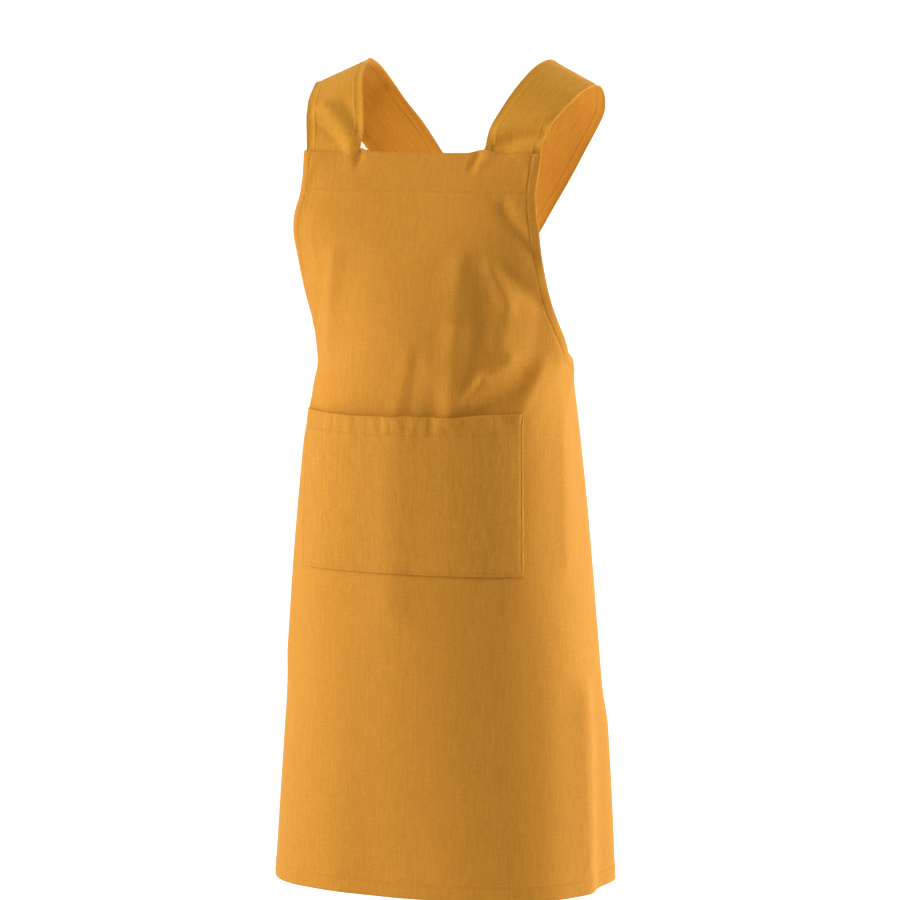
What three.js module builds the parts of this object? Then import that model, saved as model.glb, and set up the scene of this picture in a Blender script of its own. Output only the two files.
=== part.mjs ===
// Cross back apron in cotton canvas, shown as it hangs when it is worn.
// Millimetres, +Z up. The bib faces -Y and +X is the wearer's left.
// The origin is the rest point of the straps, midway between the tops of the two shoulders.
import * as THREE from "three";

// Heights, each measured down from the rest point
const apronDrop = 944;
const bibTopDrop = 88.5;
const armholeDrop = 318;
const backCornerDrop = 380;
const pocketDrop = 387;
const crossingDrop = 238;

// Widths of the cloth, each measured along it from the centre line
const bibHalfWidth = 146.5;
const sideReach = 208;
const backReach = 385;
const hemReach = 470;

// The hollow form that the cloth hangs in, measured at the hem
const hemHalfWidth = 193;
const hemHalfDepth = 145;
const shoulderSetback = 35;

// Cloth, hems and the space between two layers
const clothWall = 1.2;
const layerGap = 0.4;
const topHemDepth = 45;
const sideHemDepth = 12;
const bottomHemDepth = 18;

// Pocket
const pocketWidth = 290;
const pocketHeight = 183;
const pocketHemDepth = 23;
const pocketGape = 12;
const pocketSeam = 11;
const pocketGap = 0.8;
const pocketLean = 6;

// Straps
const strapWidth = 70;
const strapWall = 1.6;
const strapSewn = 38;
const shoulderSpacing = 286;
const shoulderSlope = 24;
const strapBackDepth = 76;
const strapBackRadius = 300;
const strapEase = 0.5;
const crossingGap = 1.2;

// Folds
const foldWidth = 20;
const foldDepth = 4;

// How finely the cloth is divided
const bibColumns = 12;
const flankColumns = 11;
const bibRows = 9;
const skirtRows = 19;
const strapRows = 34;
const strapColumns = 4;

// The hanging form, level by level. down is a share of apronDrop, width of hemHalfWidth,
// front and back of hemHalfDepth, and square is the roundness: 2 is an ellipse, more is boxier.
const formSections = [
  { down: 0.094, width: 0.985, front: 0.545, back: 0.6, square: 5.4 },
  { down: 0.119, width: 0.985, front: 0.628, back: 0.62, square: 3.8 },
  { down: 0.143, width: 0.985, front: 0.717, back: 0.64, square: 3.3 },
  { down: 0.167, width: 0.985, front: 0.779, back: 0.65, square: 3.45 },
  { down: 0.186, width: 0.985, front: 0.821, back: 0.65, square: 3.08 },
  { down: 0.204, width: 0.974, front: 0.848, back: 0.65, square: 2.7 },
  { down: 0.223, width: 0.953, front: 0.862, back: 0.65, square: 2.4 },
  { down: 0.262, width: 0.891, front: 0.862, back: 0.65, square: 2.15 },
  { down: 0.3, width: 0.832, front: 0.848, back: 0.65, square: 2.0 },
  { down: 0.337, width: 0.798, front: 0.841, back: 0.65, square: 2.05 },
  { down: 0.358, width: 0.782, front: 0.841, back: 0.655, square: 2.2 },
  { down: 0.413, width: 0.808, front: 0.869, back: 0.61, square: 2.6 },
  { down: 0.518, width: 0.86, front: 0.924, back: 0.7, square: 2.55 },
  { down: 0.604, width: 0.896, front: 0.966, back: 0.77, square: 2.5 },
  { down: 0.71, width: 0.938, front: 0.986, back: 0.89, square: 2.4 },
  { down: 0.84, width: 0.977, front: 0.993, back: 0.952, square: 2.5 },
  { down: 1, width: 1.005, front: 1, back: 1, square: 3 },
];

// The armhole edge. down runs from the bib's corner to the armhole's foot,
// out from bibHalfWidth to sideReach.
const armholeEdge = [
  { down: 0, out: 0 },
  { down: 0.2, out: 0.01 },
  { down: 0.38, out: 0.15 },
  { down: 0.53, out: 0.24 },
  { down: 0.69, out: 0.39 },
  { down: 0.85, out: 0.66 },
  { down: 1, out: 1 },
];

// The top edge of the skirt behind the arm. out runs from sideReach to backReach,
// down from armholeDrop to backCornerDrop.
const flankEdge = [
  { out: 0, down: 0 },
  { out: 0.23, down: 0.27 },
  { out: 0.58, down: 0.46 },
  { out: 1, down: 1 },
];

// Broad folds, each a straight ridge (rise above 0) or hollow (below 0). across is a share of
// bibHalfWidth, down of apronDrop, wide of foldWidth and rise of foldDepth.
const folds = [
  { name: "left chest hollow", across: 0.76, down: 0.152, toAcross: 1.0, toDown: 0.2, wide: 0.9, rise: -0.7 },
  { name: "left chest ridge", across: 0.87, down: 0.15, toAcross: 1.08, toDown: 0.187, wide: 0.6, rise: 0.5 },
  { name: "left armhole drag", across: 0.8, down: 0.238, toAcross: 1.12, toDown: 0.29, wide: 0.7, rise: 0.6 },
  { name: "left armhole hollow", across: 0.92, down: 0.285, toAcross: 0.8, toDown: 0.262, wide: 0.9, rise: -0.7 },
  { name: "right rib ridge", across: -0.64, down: 0.232, toAcross: -0.74, toDown: 0.31, wide: 0.8, rise: 0.6 },
  { name: "right rib hollow", across: -0.52, down: 0.236, toAcross: -0.62, toDown: 0.306, wide: 0.8, rise: -0.5 },
  { name: "centre ridge", across: 0.42, down: 0.24, toAcross: 0.3, toDown: 0.365, wide: 0.9, rise: 0.6 },
  { name: "centre hollow", across: 0.57, down: 0.262, toAcross: 0.47, toDown: 0.35, wide: 0.9, rise: -0.5 },
  { name: "left waist ridge", across: 1.3, down: 0.352, toAcross: 1.02, toDown: 0.402, wide: 0.8, rise: 0.7 },
  { name: "left waist hollow", across: 1.12, down: 0.352, toAcross: 0.8, toDown: 0.402, wide: 0.9, rise: -0.6 },
  { name: "left flank ridge", across: 1.42, down: 0.4, toAcross: 1.45, toDown: 0.58, wide: 1.1, rise: 0.6 },
  { name: "right flank ridge", across: -1.36, down: 0.46, toAcross: -1.44, toDown: 0.7, wide: 2, rise: 1 },
  { name: "left skirt corner", across: 1.62, down: 0.72, toAcross: 1.66, toDown: 1.02, wide: 1.0, rise: 1.1 },
  { name: "right skirt corner", across: -1.62, down: 0.72, toAcross: -1.66, toDown: 1.02, wide: 1.0, rise: 1.1 },
  { name: "left skirt fold", across: 2.35, down: 0.66, toAcross: 2.5, toDown: 1.02, wide: 1.4, rise: -1.2 },
  { name: "right skirt fold", across: -2.35, down: 0.66, toAcross: -2.5, toDown: 1.02, wide: 1.4, rise: -1.2 },
];

// Strap from the bib's top to the shoulder. rise is a share of the drop between them,
// out and back of the ways outward and backward, and slope of shoulderSlope. sweep is in degrees.
const strapFront = [
  { rise: 0.26, out: 0.04, back: 0.1, slope: 0.42, sweep: -7 },
  { rise: 0.56, out: 0.34, back: 0.29, slope: 0.83, sweep: -12 },
  { rise: 0.78, out: 0.62, back: 0.51, slope: 0.96, sweep: -11 },
  { rise: 0.95, out: 0.82, back: 0.77, slope: 1.04, sweep: -12 },
  { rise: 1.015, out: 1, back: 1, slope: 1.05, sweep: -12 },
];

// Strap just behind the shoulder's top: down is a share of the drop to the crossing, back of
// strapBackDepth, slope of shoulderSlope. sweep is in degrees.
const strapCrest = { down: 0.024, back: 0.35, slope: 1.07, sweep: -14 };

// Strap down the back. down is a share of the drop to the crossing, inward of half the shoulder
// spacing, and depth of strapBackDepth, on the line of the spine.
const strapBack = [
  { down: 0.12, inward: 0.042, depth: 1.05, slope: 1.13 },
  { down: 0.21, inward: 0.133, depth: 1.13, slope: 1.25 },
  { down: 0.332, inward: 0.273, depth: 1.14, slope: 1.34 },
  { down: 0.513, inward: 0.469, depth: 1.11, slope: 1.38 },
  { down: 0.744, inward: 0.72, depth: 1.06, slope: 1.38 },
  { down: 1, inward: 1, depth: 1.0, slope: 1.38 },
  { down: 1.26, inward: 1.28, depth: 0.88, slope: 1.38 },
  { down: 1.36, inward: 1.39, depth: 0.81, slope: 1.38 },
];

const canvasColour = 0xc68a2b;
const canvasShade = 0xbd8126;

// A smooth curve through a table's rows: the value of one column at a key of another.
function smoothed(rows, keyColumn, column, key) {
  const keys = rows.map((row) => row[keyColumn]);
  const values = rows.map((row) => row[column]);
  const last = rows.length - 1;
  const held = Math.min(Math.max(key, keys[0]), keys[last]);
  let at = 0;
  while (at < last - 1 && held > keys[at + 1]) at += 1;
  const gradient = (from, to) => (values[to] - values[from]) / (keys[to] - keys[from]);
  const slopeAt = (index) => gradient(Math.max(index - 1, 0), Math.min(index + 1, last));
  const span = keys[at + 1] - keys[at];
  const t = (held - keys[at]) / span;
  const startTerm = (1 + 2 * t) * (1 - t) ** 2 * values[at] + t * (1 - t) ** 2 * span * slopeAt(at);
  const endTerm = t * t * (3 - 2 * t) * values[at + 1] - t * t * (1 - t) * span * slopeAt(at + 1);
  return startTerm + endTerm;
}

const mix = (from, to, share) => from + (to - from) * share;

// One level of the hanging form as a fine outline from the front centre round to the back,
// with the length of cloth up to each of its points.
const outlineSteps = 240;
const outlines = new Map();
function outlineAt(z) {
  const key = Math.round(z * 1000);
  if (outlines.has(key)) return outlines.get(key);
  const down = -z / apronDrop;
  const width = smoothed(formSections, "down", "width", down) * hemHalfWidth;
  const front = smoothed(formSections, "down", "front", down) * hemHalfDepth;
  const back = smoothed(formSections, "down", "back", down) * hemHalfDepth;
  const square = smoothed(formSections, "down", "square", down);
  const outline = [];
  let length = 0;
  for (let step = 0; step <= outlineSteps; step += 1) {
    const turn = (Math.PI * step) / outlineSteps;
    const depth = turn < Math.PI / 2 ? front : back;
    const reach = (Math.abs(Math.cos(turn)) / depth) ** square + (Math.abs(Math.sin(turn)) / width) ** square;
    const radius = reach ** (-1 / square);
    const point = { x: radius * Math.sin(turn), y: -radius * Math.cos(turn) };
    if (step > 0) length += Math.hypot(point.x - outline[step - 1].x, point.y - outline[step - 1].y);
    outline.push({ ...point, length });
  }
  outlines.set(key, outline);
  return outline;
}

// The point of the hanging form at a distance round it from the centre line.
function formPoint(across, z) {
  const outline = outlineAt(z);
  const wanted = Math.abs(across);
  let low = 0;
  let high = outlineSteps;
  while (high - low > 1) {
    const middle = (low + high) >> 1;
    if (outline[middle].length > wanted) high = middle;
    else low = middle;
  }
  const share = (wanted - outline[low].length) / (outline[high].length - outline[low].length);
  const x = mix(outline[low].x, outline[high].x, share);
  const y = mix(outline[low].y, outline[high].y, share);
  return new THREE.Vector3(Math.sign(across) * x, y - shoulderSetback, z);
}

// How far the folds lift the cloth off the form.
function foldRise(across, z) {
  let rise = 0;
  for (const fold of folds) {
    const from = new THREE.Vector2(fold.across * bibHalfWidth, -fold.down * apronDrop);
    const to = new THREE.Vector2(fold.toAcross * bibHalfWidth, -fold.toDown * apronDrop);
    const along = to.clone().sub(from);
    const here = new THREE.Vector2(across, z).sub(from);
    const share = Math.min(Math.max(here.dot(along) / along.lengthSq(), 0), 1);
    const away = here.sub(along.multiplyScalar(share)).length() / (fold.wide * foldWidth);
    rise += fold.rise * foldDepth * Math.exp(-away * away);
  }
  return rise;
}

function formNormal(across, z) {
  const step = 2;
  const alongRow = formPoint(across + step, z).sub(formPoint(across - step, z));
  const alongColumn = formPoint(across, z - step).sub(formPoint(across, z + step));
  return alongColumn.cross(alongRow).normalize();
}

function clothPoint(across, z) {
  return formPoint(across, z).addScaledVector(formNormal(across, z), foldRise(across, z));
}

function clothNormal(across, z) {
  const step = 4;
  const alongRow = clothPoint(across + step, z).sub(clothPoint(across - step, z));
  const alongColumn = clothPoint(across, z - step).sub(clothPoint(across, z + step));
  return alongColumn.cross(alongRow).normalize();
}

// The cut of the cloth: its upper edge, as a reach at a height and as a height at a reach.
function armholeReach(z) {
  const down = (-z - bibTopDrop) / (armholeDrop - bibTopDrop);
  return mix(bibHalfWidth, sideReach, smoothed(armholeEdge, "down", "out", down));
}

function flankTop(reach) {
  const out = (reach - sideReach) / (backReach - sideReach);
  return -mix(armholeDrop, backCornerDrop, smoothed(flankEdge, "out", "down", out));
}

// The cloth is one grid of rows and columns. Columns 0 to bibEdge on either side of the centre
// belong to bib and skirt, those beyond it to the skirt's flanks alone.
const bibEdge = bibColumns + 1;
const backEdge = bibEdge + flankColumns + 1;
const bandRow = 2;
const footRow = bandRow + bibRows;
const turnRow = footRow + 1;
const bottomRow = turnRow + skirtRows;
const hemRow = bottomRow + 1;

function flankReach(column, edge, end) {
  if (column === backEdge) return end;
  return mix(edge, end - sideHemDepth, (column - bibEdge) / flankColumns);
}

function bibReach(column, edge) {
  return column === bibEdge ? edge : ((edge - sideHemDepth) * column) / bibColumns;
}

function clothPlace(row, column) {
  const side = Math.sign(column);
  const steps = Math.abs(column);
  if (row < footRow) {
    const level = row <= bandRow ? bibTopDrop + (topHemDepth * row) / bandRow : null;
    const bandDrop = bibTopDrop + topHemDepth;
    const z = -(level ?? mix(bandDrop, armholeDrop, (row - bandRow) / bibRows));
    return { across: side * bibReach(steps, armholeReach(z)), z };
  }
  const topReach = steps > bibEdge ? flankReach(steps, sideReach, backReach) : bibReach(steps, sideReach);
  const top = steps > bibEdge ? flankTop(topReach) : -armholeDrop;
  const sideAtHem = (sideReach * hemReach) / backReach;
  const footReach = steps > bibEdge ? flankReach(steps, sideAtHem, hemReach) : bibReach(steps, sideAtHem);
  let z = top;
  if (row >= turnRow) {
    const start = top - sideHemDepth;
    z = mix(start, -apronDrop + bottomHemDepth, (row - turnRow) / skirtRows);
  }
  if (row === hemRow) z = -apronDrop;
  return { across: side * mix(topReach, footReach, (top - z) / (top + apronDrop)), z };
}

const hasCell = (row, column) => row >= footRow || (column >= -bibEdge && column < bibEdge);

const clothGrid = new Map();
function clothNode(row, column) {
  const key = `${row},${column}`;
  if (!clothGrid.has(key)) {
    const place = clothPlace(row, column);
    const point = clothPoint(place.across, place.z);
    const normal = clothNormal(place.across, place.z);
    clothGrid.set(key, { ...place, point, normal });
  }
  return clothGrid.get(key);
}

// A spot on the cloth's own facets, at whole or part rows and columns.
function clothSpot(row, column) {
  const baseRow = Math.floor(row);
  const baseColumn = Math.floor(column);
  const spot = { point: new THREE.Vector3(), normal: new THREE.Vector3() };
  for (const [addRow, rowShare] of [[0, 1 - (row - baseRow)], [1, row - baseRow]]) {
    for (const [addColumn, columnShare] of [[0, 1 - (column - baseColumn)], [1, column - baseColumn]]) {
      const share = rowShare * columnShare;
      if (share > 0) {
        const node = clothNode(baseRow + addRow, baseColumn + addColumn);
        spot.point.addScaledVector(node.point, share);
        spot.normal.addScaledVector(node.normal, share);
      }
    }
  }
  spot.normal.normalize();
  return spot;
}

// The row of the skirt at a height, and the column at a distance across that row.
function skirtRow(z) {
  let row = footRow;
  while (row < hemRow - 1 && clothPlace(row + 1, 0).z > z) row += 1;
  const upper = clothPlace(row, 0).z;
  return row + (upper - z) / (upper - clothPlace(row + 1, 0).z);
}

function reachAt(row, column) {
  const upper = Math.floor(row);
  return mix(clothPlace(upper, column).across, clothPlace(upper + 1, column).across, row - upper);
}

function skirtColumn(row, across) {
  let column = -bibEdge;
  while (column < bibEdge - 1 && reachAt(row, column + 1) < across) column += 1;
  return column + (across - reachAt(row, column)) / (reachAt(row, column + 1) - reachAt(row, column));
}

// A closed body from cells with four corners each. Each corner is a key with an outer and an
// inner point. Sides that only one cell has become the rim.
function closedCloth(name, cells, outerPoint, innerPoint, colour) {
  const numbers = new Map();
  const positions = [];
  const indices = [];
  const numberOf = (key, layer) => {
    const label = `${layer}:${key}`;
    if (!numbers.has(label)) {
      const point = layer === "outer" ? outerPoint(key) : innerPoint(key);
      numbers.set(label, positions.length / 3);
      positions.push(point.x, point.y, point.z);
    }
    return numbers.get(label);
  };
  const quad = (a, b, c, d) => indices.push(a, b, c, a, c, d);
  const sides = new Map();
  for (const cell of cells) {
    const outer = cell.map((key) => numberOf(key, "outer"));
    const inner = cell.map((key) => numberOf(key, "inner"));
    quad(outer[0], outer[1], outer[2], outer[3]);
    quad(inner[0], inner[3], inner[2], inner[1]);
    cell.forEach((key, corner) => {
      const next = cell[(corner + 1) % 4];
      if (sides.has(`${next}|${key}`)) sides.delete(`${next}|${key}`);
      else sides.set(`${key}|${next}`, [key, next]);
    });
  }
  for (const [from, to] of sides.values()) {
    quad(numberOf(to, "outer"), numberOf(from, "outer"), numberOf(from, "inner"), numberOf(to, "inner"));
  }
  const geometry = new THREE.BufferGeometry();
  geometry.setAttribute("position", new THREE.Float32BufferAttribute(positions, 3));
  geometry.setIndex(indices);
  geometry.computeVertexNormals();
  const material = new THREE.MeshStandardMaterial({ color: colour, roughness: 0.92, metalness: 0 });
  const mesh = new THREE.Mesh(geometry, material);
  mesh.name = name;
  return mesh;
}

// Cells between listed rows and columns, as keys that hold a row and a column.
function gridCells(rows, columns, keep = () => true) {
  const cells = [];
  for (let i = 0; i < rows.length - 1; i += 1) {
    for (let j = 0; j < columns.length - 1; j += 1) {
      if (keep(rows[i], columns[j])) {
        cells.push([
          `${rows[i]} ${columns[j]}`,
          `${rows[i + 1]} ${columns[j]}`,
          `${rows[i + 1]} ${columns[j + 1]}`,
          `${rows[i]} ${columns[j + 1]}`,
        ]);
      }
    }
  }
  return cells;
}

const counted = (from, to) => Array.from({ length: to - from + 1 }, (_, index) => from + index);

const onCloth = (inward) => (key) => {
  const [row, column] = key.split(" ").map(Number);
  const spot = clothSpot(row, column);
  return spot.point.addScaledVector(spot.normal, -inward);
};

const firstLayer = clothWall + layerGap;
const secondLayer = 2 * firstLayer;

function clothLayer(name, cells, inward, colour) {
  return closedCloth(name, cells, onCloth(inward), onCloth(inward + clothWall), colour);
}

function bodyPanel() {
  const cells = gridCells(counted(0, hemRow), counted(-backEdge, backEdge), hasCell);
  return clothLayer("body_panel", cells, 0, canvasColour);
}

// Hems are the cloth's own edges turned in: thin layers behind it, a small space apart.
const apart = 0.04;

function bibTopHem() {
  const cells = gridCells(counted(0, bandRow), counted(-bibEdge, bibEdge));
  return clothLayer("bib_top_hem", cells, firstLayer, canvasShade);
}

function armholeHem(name, side) {
  const rows = [bandRow + apart, ...counted(bandRow + 1, turnRow)];
  const columns = side > 0 ? counted(bibColumns, backEdge) : counted(-backEdge, -bibColumns);
  const keep = (row, column) => {
    const steps = side > 0 ? column : -column - 1;
    return row >= footRow || steps < bibEdge;
  };
  return clothLayer(name, gridCells(rows, columns, keep), firstLayer, canvasShade);
}

function backHem(name, side) {
  const rows = [turnRow + apart, ...counted(turnRow + 1, bottomRow - 1), bottomRow - apart];
  const columns = side > 0 ? [backEdge - 1, backEdge] : [-backEdge, 1 - backEdge];
  return clothLayer(name, gridCells(rows, columns), firstLayer, canvasShade);
}

function bottomHem() {
  const cells = gridCells([bottomRow, hemRow], counted(-backEdge, backEdge));
  return clothLayer("bottom_hem", cells, firstLayer, canvasShade);
}

// The pocket stands off the skirt by its turned-in seam, and its mouth gapes at the middle.
// It leans a little: its mouth lies nearer to the wearer's right than its foot.
const pocketHalf = pocketWidth / 2;
const leanAt = (down) => -pocketLean * (1 - down / pocketHeight);
const pocketLift = pocketGap + firstLayer;

function gapeAt(across, down) {
  const over = Math.max(1 - (across / (pocketHalf - pocketSeam)) ** 2, 0);
  return pocketGape * over ** 1.3 * Math.max(1 - (down / (pocketHeight - pocketSeam)) ** 2, 0);
}

// The pocket's columns are those of the skirt under it, then its own edges. The last of the
// skirt's columns that it takes stays clear of the seam at the mouth and at the foot.
const pocketInside = pocketHalf - pocketSeam;
const seamStep = 2;
const footRowOfPocket = skirtRow(-pocketDrop - pocketHeight);
const sharedColumns = Math.floor(skirtColumn(footRowOfPocket, pocketInside - 2 * seamStep));
const pocketEdges = [
  { across: -pocketHalf },
  { across: -pocketInside - seamStep },
  { across: -pocketInside },
  ...counted(-sharedColumns, sharedColumns).map((column) => ({ column })),
  { across: pocketInside },
  { across: pocketInside + seamStep },
  { across: pocketHalf },
];

const onSkirt = (offset) => (key) => {
  const [down, index] = key.split(" ").map(Number);
  const edge = pocketEdges[index];
  const row = skirtRow(-pocketDrop - down);
  const column = edge.column ?? skirtColumn(row, edge.across + leanAt(down));
  const spot = clothSpot(row, column);
  const across = edge.across ?? reachAt(row, column) - leanAt(down);
  return spot.point.addScaledVector(spot.normal, offset(across, down));
};

function pocketDowns() {
  const clear = pocketHeight - pocketSeam;
  const shared = counted(footRow, hemRow).map((row) => -pocketDrop - clothPlace(row, 0).z);
  const between = (from, to) => shared.filter((down) => down > from + seamStep && down < to - seamStep);
  const hem = [0, ...between(0, pocketHemDepth), pocketHemDepth];
  return { hem, all: [...hem, ...between(pocketHemDepth, clear), clear, clear + seamStep, pocketHeight] };
}

function pocket() {
  const clear = pocketHeight - pocketSeam;
  const outer = (across, down) => pocketLift + clothWall + gapeAt(across, down);
  const inner = (across, down) => {
    const sewn = Math.abs(across) > pocketInside + seamStep / 2 || down > clear + seamStep / 2;
    return sewn ? pocketGap : pocketLift + gapeAt(across, down);
  };
  const cells = gridCells(pocketDowns().all, counted(0, pocketEdges.length - 1));
  return closedCloth("pocket", cells, onSkirt(outer), onSkirt(inner), canvasColour);
}

function pocketTopHem() {
  const outer = (across, down) => pocketGap + clothWall + gapeAt(across, down);
  const inner = (across, down) => pocketGap + gapeAt(across, down);
  const cells = gridCells(pocketDowns().hem, counted(2, pocketEdges.length - 3));
  return closedCloth("pocket_top_hem", cells, onSkirt(outer), onSkirt(inner), canvasShade);
}

// A strap is a broad band that runs from behind the bib's top hem over the shoulder to the
// inside of the opposite back corner. This is the left one; the right one is mirrored.
const radians = (degrees) => (degrees * Math.PI) / 180;
const sewnDepth = secondLayer + strapEase + strapWall / 2;

function sewnPoint(across, z) {
  return clothPoint(across, z).addScaledVector(clothNormal(across, z), -sewnDepth);
}

// One line along a strap. width runs from -1 at its inner edge to 1 at its outer edge, and lift
// is how far it is raised over the other strap where they cross.
function strapLine(width, lift) {
  const halfWidth = strapWidth / 2 - layerGap;
  const bibMiddle = bibHalfWidth - strapWidth / 2;
  const sewn = (across, top) => (down) => sewnPoint(across, top - down);
  const line = [strapSewn, strapSewn / 2, 0].map(sewn(bibMiddle + halfWidth * width, -bibTopDrop));
  const start = sewnPoint(bibMiddle, -bibTopDrop);
  const shoulder = shoulderSpacing / 2;
  const acrossAt = (slope, sweep) => {
    const level = Math.cos(radians(sweep));
    const tilt = radians(slope * shoulderSlope);
    return new THREE.Vector3(Math.cos(tilt) * level, Math.sin(radians(sweep)), -Math.sin(tilt) * level);
  };
  for (const row of strapFront) {
    const y = mix(start.y, 0, row.back);
    const middle = new THREE.Vector3(mix(start.x, shoulder, row.out), y, mix(start.z, 0, row.rise));
    line.push(middle.addScaledVector(acrossAt(row.slope, row.sweep), halfWidth * width));
  }
  const behind = strapBackDepth * strapCrest.back;
  const crest = new THREE.Vector3(shoulder, behind, -crossingDrop * strapCrest.down);
  line.push(crest.addScaledVector(acrossAt(strapCrest.slope, strapCrest.sweep), halfWidth * width));
  for (const row of strapBack) {
    const middle = new THREE.Vector3(shoulder * (1 - row.inward), 0, -crossingDrop * row.down);
    const point = middle.addScaledVector(acrossAt(row.slope, 0), halfWidth * width);
    const spine = strapBackDepth * smoothed(strapBack, "down", "depth", -point.z / crossingDrop);
    const raised = lift * Math.exp(-(((row.down - 1) / 0.45) ** 4));
    point.y = spine - (point.x * point.x) / (2 * strapBackRadius) + raised;
    line.push(point);
  }
  const cornerReach = backReach - strapWidth / 2 + halfWidth * width;
  const corner = [-strapSewn / 3, strapSewn / 4, strapSewn];
  line.push(...corner.map(sewn(-cornerReach, flankTop(cornerReach))));
  return new THREE.CatmullRomCurve3(line, false, "centripetal");
}

function strap(name, side, lift) {
  const widths = Array.from({ length: strapColumns + 1 }, (_, index) => -1 + (2 * index) / strapColumns);
  const lines = widths.map((width) => strapLine(width, lift));
  const rowPoints = (row, column) => lines[column].getPoint(row / strapRows);
  const clampTo = (value, top) => Math.min(Math.max(value, 0), top);
  const normalAt = (row, column) => {
    const ahead = rowPoints(clampTo(row + 0.3, strapRows), column);
    const alongRow = ahead.sub(rowPoints(clampTo(row - 0.3, strapRows), column));
    const acrossRow = rowPoints(row, clampTo(column + 1, strapColumns));
    acrossRow.sub(rowPoints(row, clampTo(column - 1, strapColumns)));
    return acrossRow.cross(alongRow).normalize();
  };
  const layer = (offset) => (key) => {
    const [row, column] = key.split(" ").map(Number);
    const point = rowPoints(row, column).addScaledVector(normalAt(row, column), offset);
    point.x *= side;
    return point;
  };
  const cells = gridCells(counted(0, strapRows), counted(0, strapColumns));
  const faced = side > 0 ? cells.map((cell) => [...cell].reverse()) : cells;
  return closedCloth(name, faced, layer(strapWall / 2), layer(-strapWall / 2), canvasShade);
}

const group = new THREE.Group();
group.add(bodyPanel());
group.add(bibTopHem());
group.add(armholeHem("armhole_hem_left", 1));
group.add(armholeHem("armhole_hem_right", -1));
group.add(backHem("back_hem_left", 1));
group.add(backHem("back_hem_right", -1));
group.add(bottomHem());
group.add(pocket());
group.add(pocketTopHem());
group.add(strap("strap_left", 1, strapWall + crossingGap));
group.add(strap("strap_right", -1, 0));

export default group;
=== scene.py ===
# %% [markdown]
# A cross back apron is one wide piece of cotton canvas with two broad straps. This lesson dresses the
# imported solids of such an apron: every solid is replaced by finer cloth in the same place, with folded
# edges, stitching, creases and a woven finish. We start by loading the solids as a fixed frame, because
# the cloth has to stay the size that they are.

import math

import bmesh
import bpy
import numpy as np
from mathutils import Matrix, Vector


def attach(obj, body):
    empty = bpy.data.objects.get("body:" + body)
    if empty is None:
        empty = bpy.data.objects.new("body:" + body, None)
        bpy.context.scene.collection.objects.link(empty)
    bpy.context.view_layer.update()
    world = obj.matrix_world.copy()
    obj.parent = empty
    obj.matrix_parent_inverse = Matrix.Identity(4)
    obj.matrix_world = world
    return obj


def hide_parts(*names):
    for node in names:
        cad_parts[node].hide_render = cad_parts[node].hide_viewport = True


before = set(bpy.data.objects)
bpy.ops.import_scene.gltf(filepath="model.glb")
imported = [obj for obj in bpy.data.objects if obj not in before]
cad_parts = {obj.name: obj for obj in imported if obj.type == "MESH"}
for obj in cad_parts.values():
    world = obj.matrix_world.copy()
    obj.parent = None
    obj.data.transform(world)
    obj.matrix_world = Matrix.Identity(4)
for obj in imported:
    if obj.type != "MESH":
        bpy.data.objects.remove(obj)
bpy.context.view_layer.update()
print("solids:", sorted(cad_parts))

# %% [markdown]
# Tailors work from a short list of measures, and so does this script. All of them are in metres. Drops
# are measured down from the place where the straps rest, reaches are measured along the cloth from its
# centre line. The form tables give the hollow shape that the cloth hangs in, level by level.

# %% Measures of the apron
APRON_DROP = 0.944
BIB_TOP_DROP = 0.0885
ARMHOLE_DROP = 0.318
BACK_CORNER_DROP = 0.380
POCKET_DROP = 0.387
CROSSING_DROP = 0.238

BIB_HALF_WIDTH = 0.1465
SIDE_REACH = 0.208
BACK_REACH = 0.385
HEM_REACH = 0.470

HEM_HALF_WIDTH = 0.193
HEM_HALF_DEPTH = 0.145
SHOULDER_SETBACK = 0.035

TOP_HEM = 0.045
SIDE_HEM = 0.012
BOTTOM_HEM = 0.018

POCKET_WIDTH = 0.290
POCKET_HEIGHT = 0.183
POCKET_HEM = 0.023
POCKET_GAPE = 0.007
POCKET_SEAM = 0.011
POCKET_LEAN = 0.006

STRAP_WIDTH = 0.070
STRAP_SEWN = 0.038
SHOULDER_SPACING = 0.286
SHOULDER_SLOPE = 24
STRAP_BACK_DEPTH = 0.076
STRAP_BACK_RADIUS = 0.300

CLOTH = 0.0010
STRAP_CLOTH = 0.0016


def table(names, rows):
    """A small table as one array for each named column."""
    return dict(zip(names.split(), np.array(rows, dtype=float).T))


FORM = table("down width front back square", [
    (0.094, 0.985, 0.545, 0.6, 5.4),
    (0.119, 0.985, 0.628, 0.62, 3.8),
    (0.143, 0.985, 0.717, 0.64, 3.3),
    (0.167, 0.985, 0.779, 0.65, 3.45),
    (0.186, 0.985, 0.821, 0.65, 3.08),
    (0.204, 0.974, 0.848, 0.65, 2.7),
    (0.223, 0.953, 0.862, 0.65, 2.4),
    (0.262, 0.891, 0.862, 0.65, 2.15),
    (0.3, 0.832, 0.848, 0.65, 2.0),
    (0.337, 0.798, 0.841, 0.65, 2.05),
    (0.358, 0.782, 0.841, 0.655, 2.2),
    (0.413, 0.808, 0.869, 0.61, 2.6),
    (0.518, 0.86, 0.924, 0.7, 2.55),
    (0.604, 0.896, 0.966, 0.77, 2.5),
    (0.71, 0.938, 0.986, 0.89, 2.4),
    (0.84, 0.977, 0.993, 0.952, 2.5),
    (1.0, 1.005, 1.0, 1.0, 3.0),
])

ARMHOLE_EDGE = table("down out", [
    (0, 0), (0.2, 0.01), (0.38, 0.15), (0.53, 0.24), (0.69, 0.39), (0.85, 0.66), (1, 1),
])

FLANK_EDGE = table("out down", [(0, 0), (0.23, 0.27), (0.58, 0.46), (1, 1)])


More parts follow.
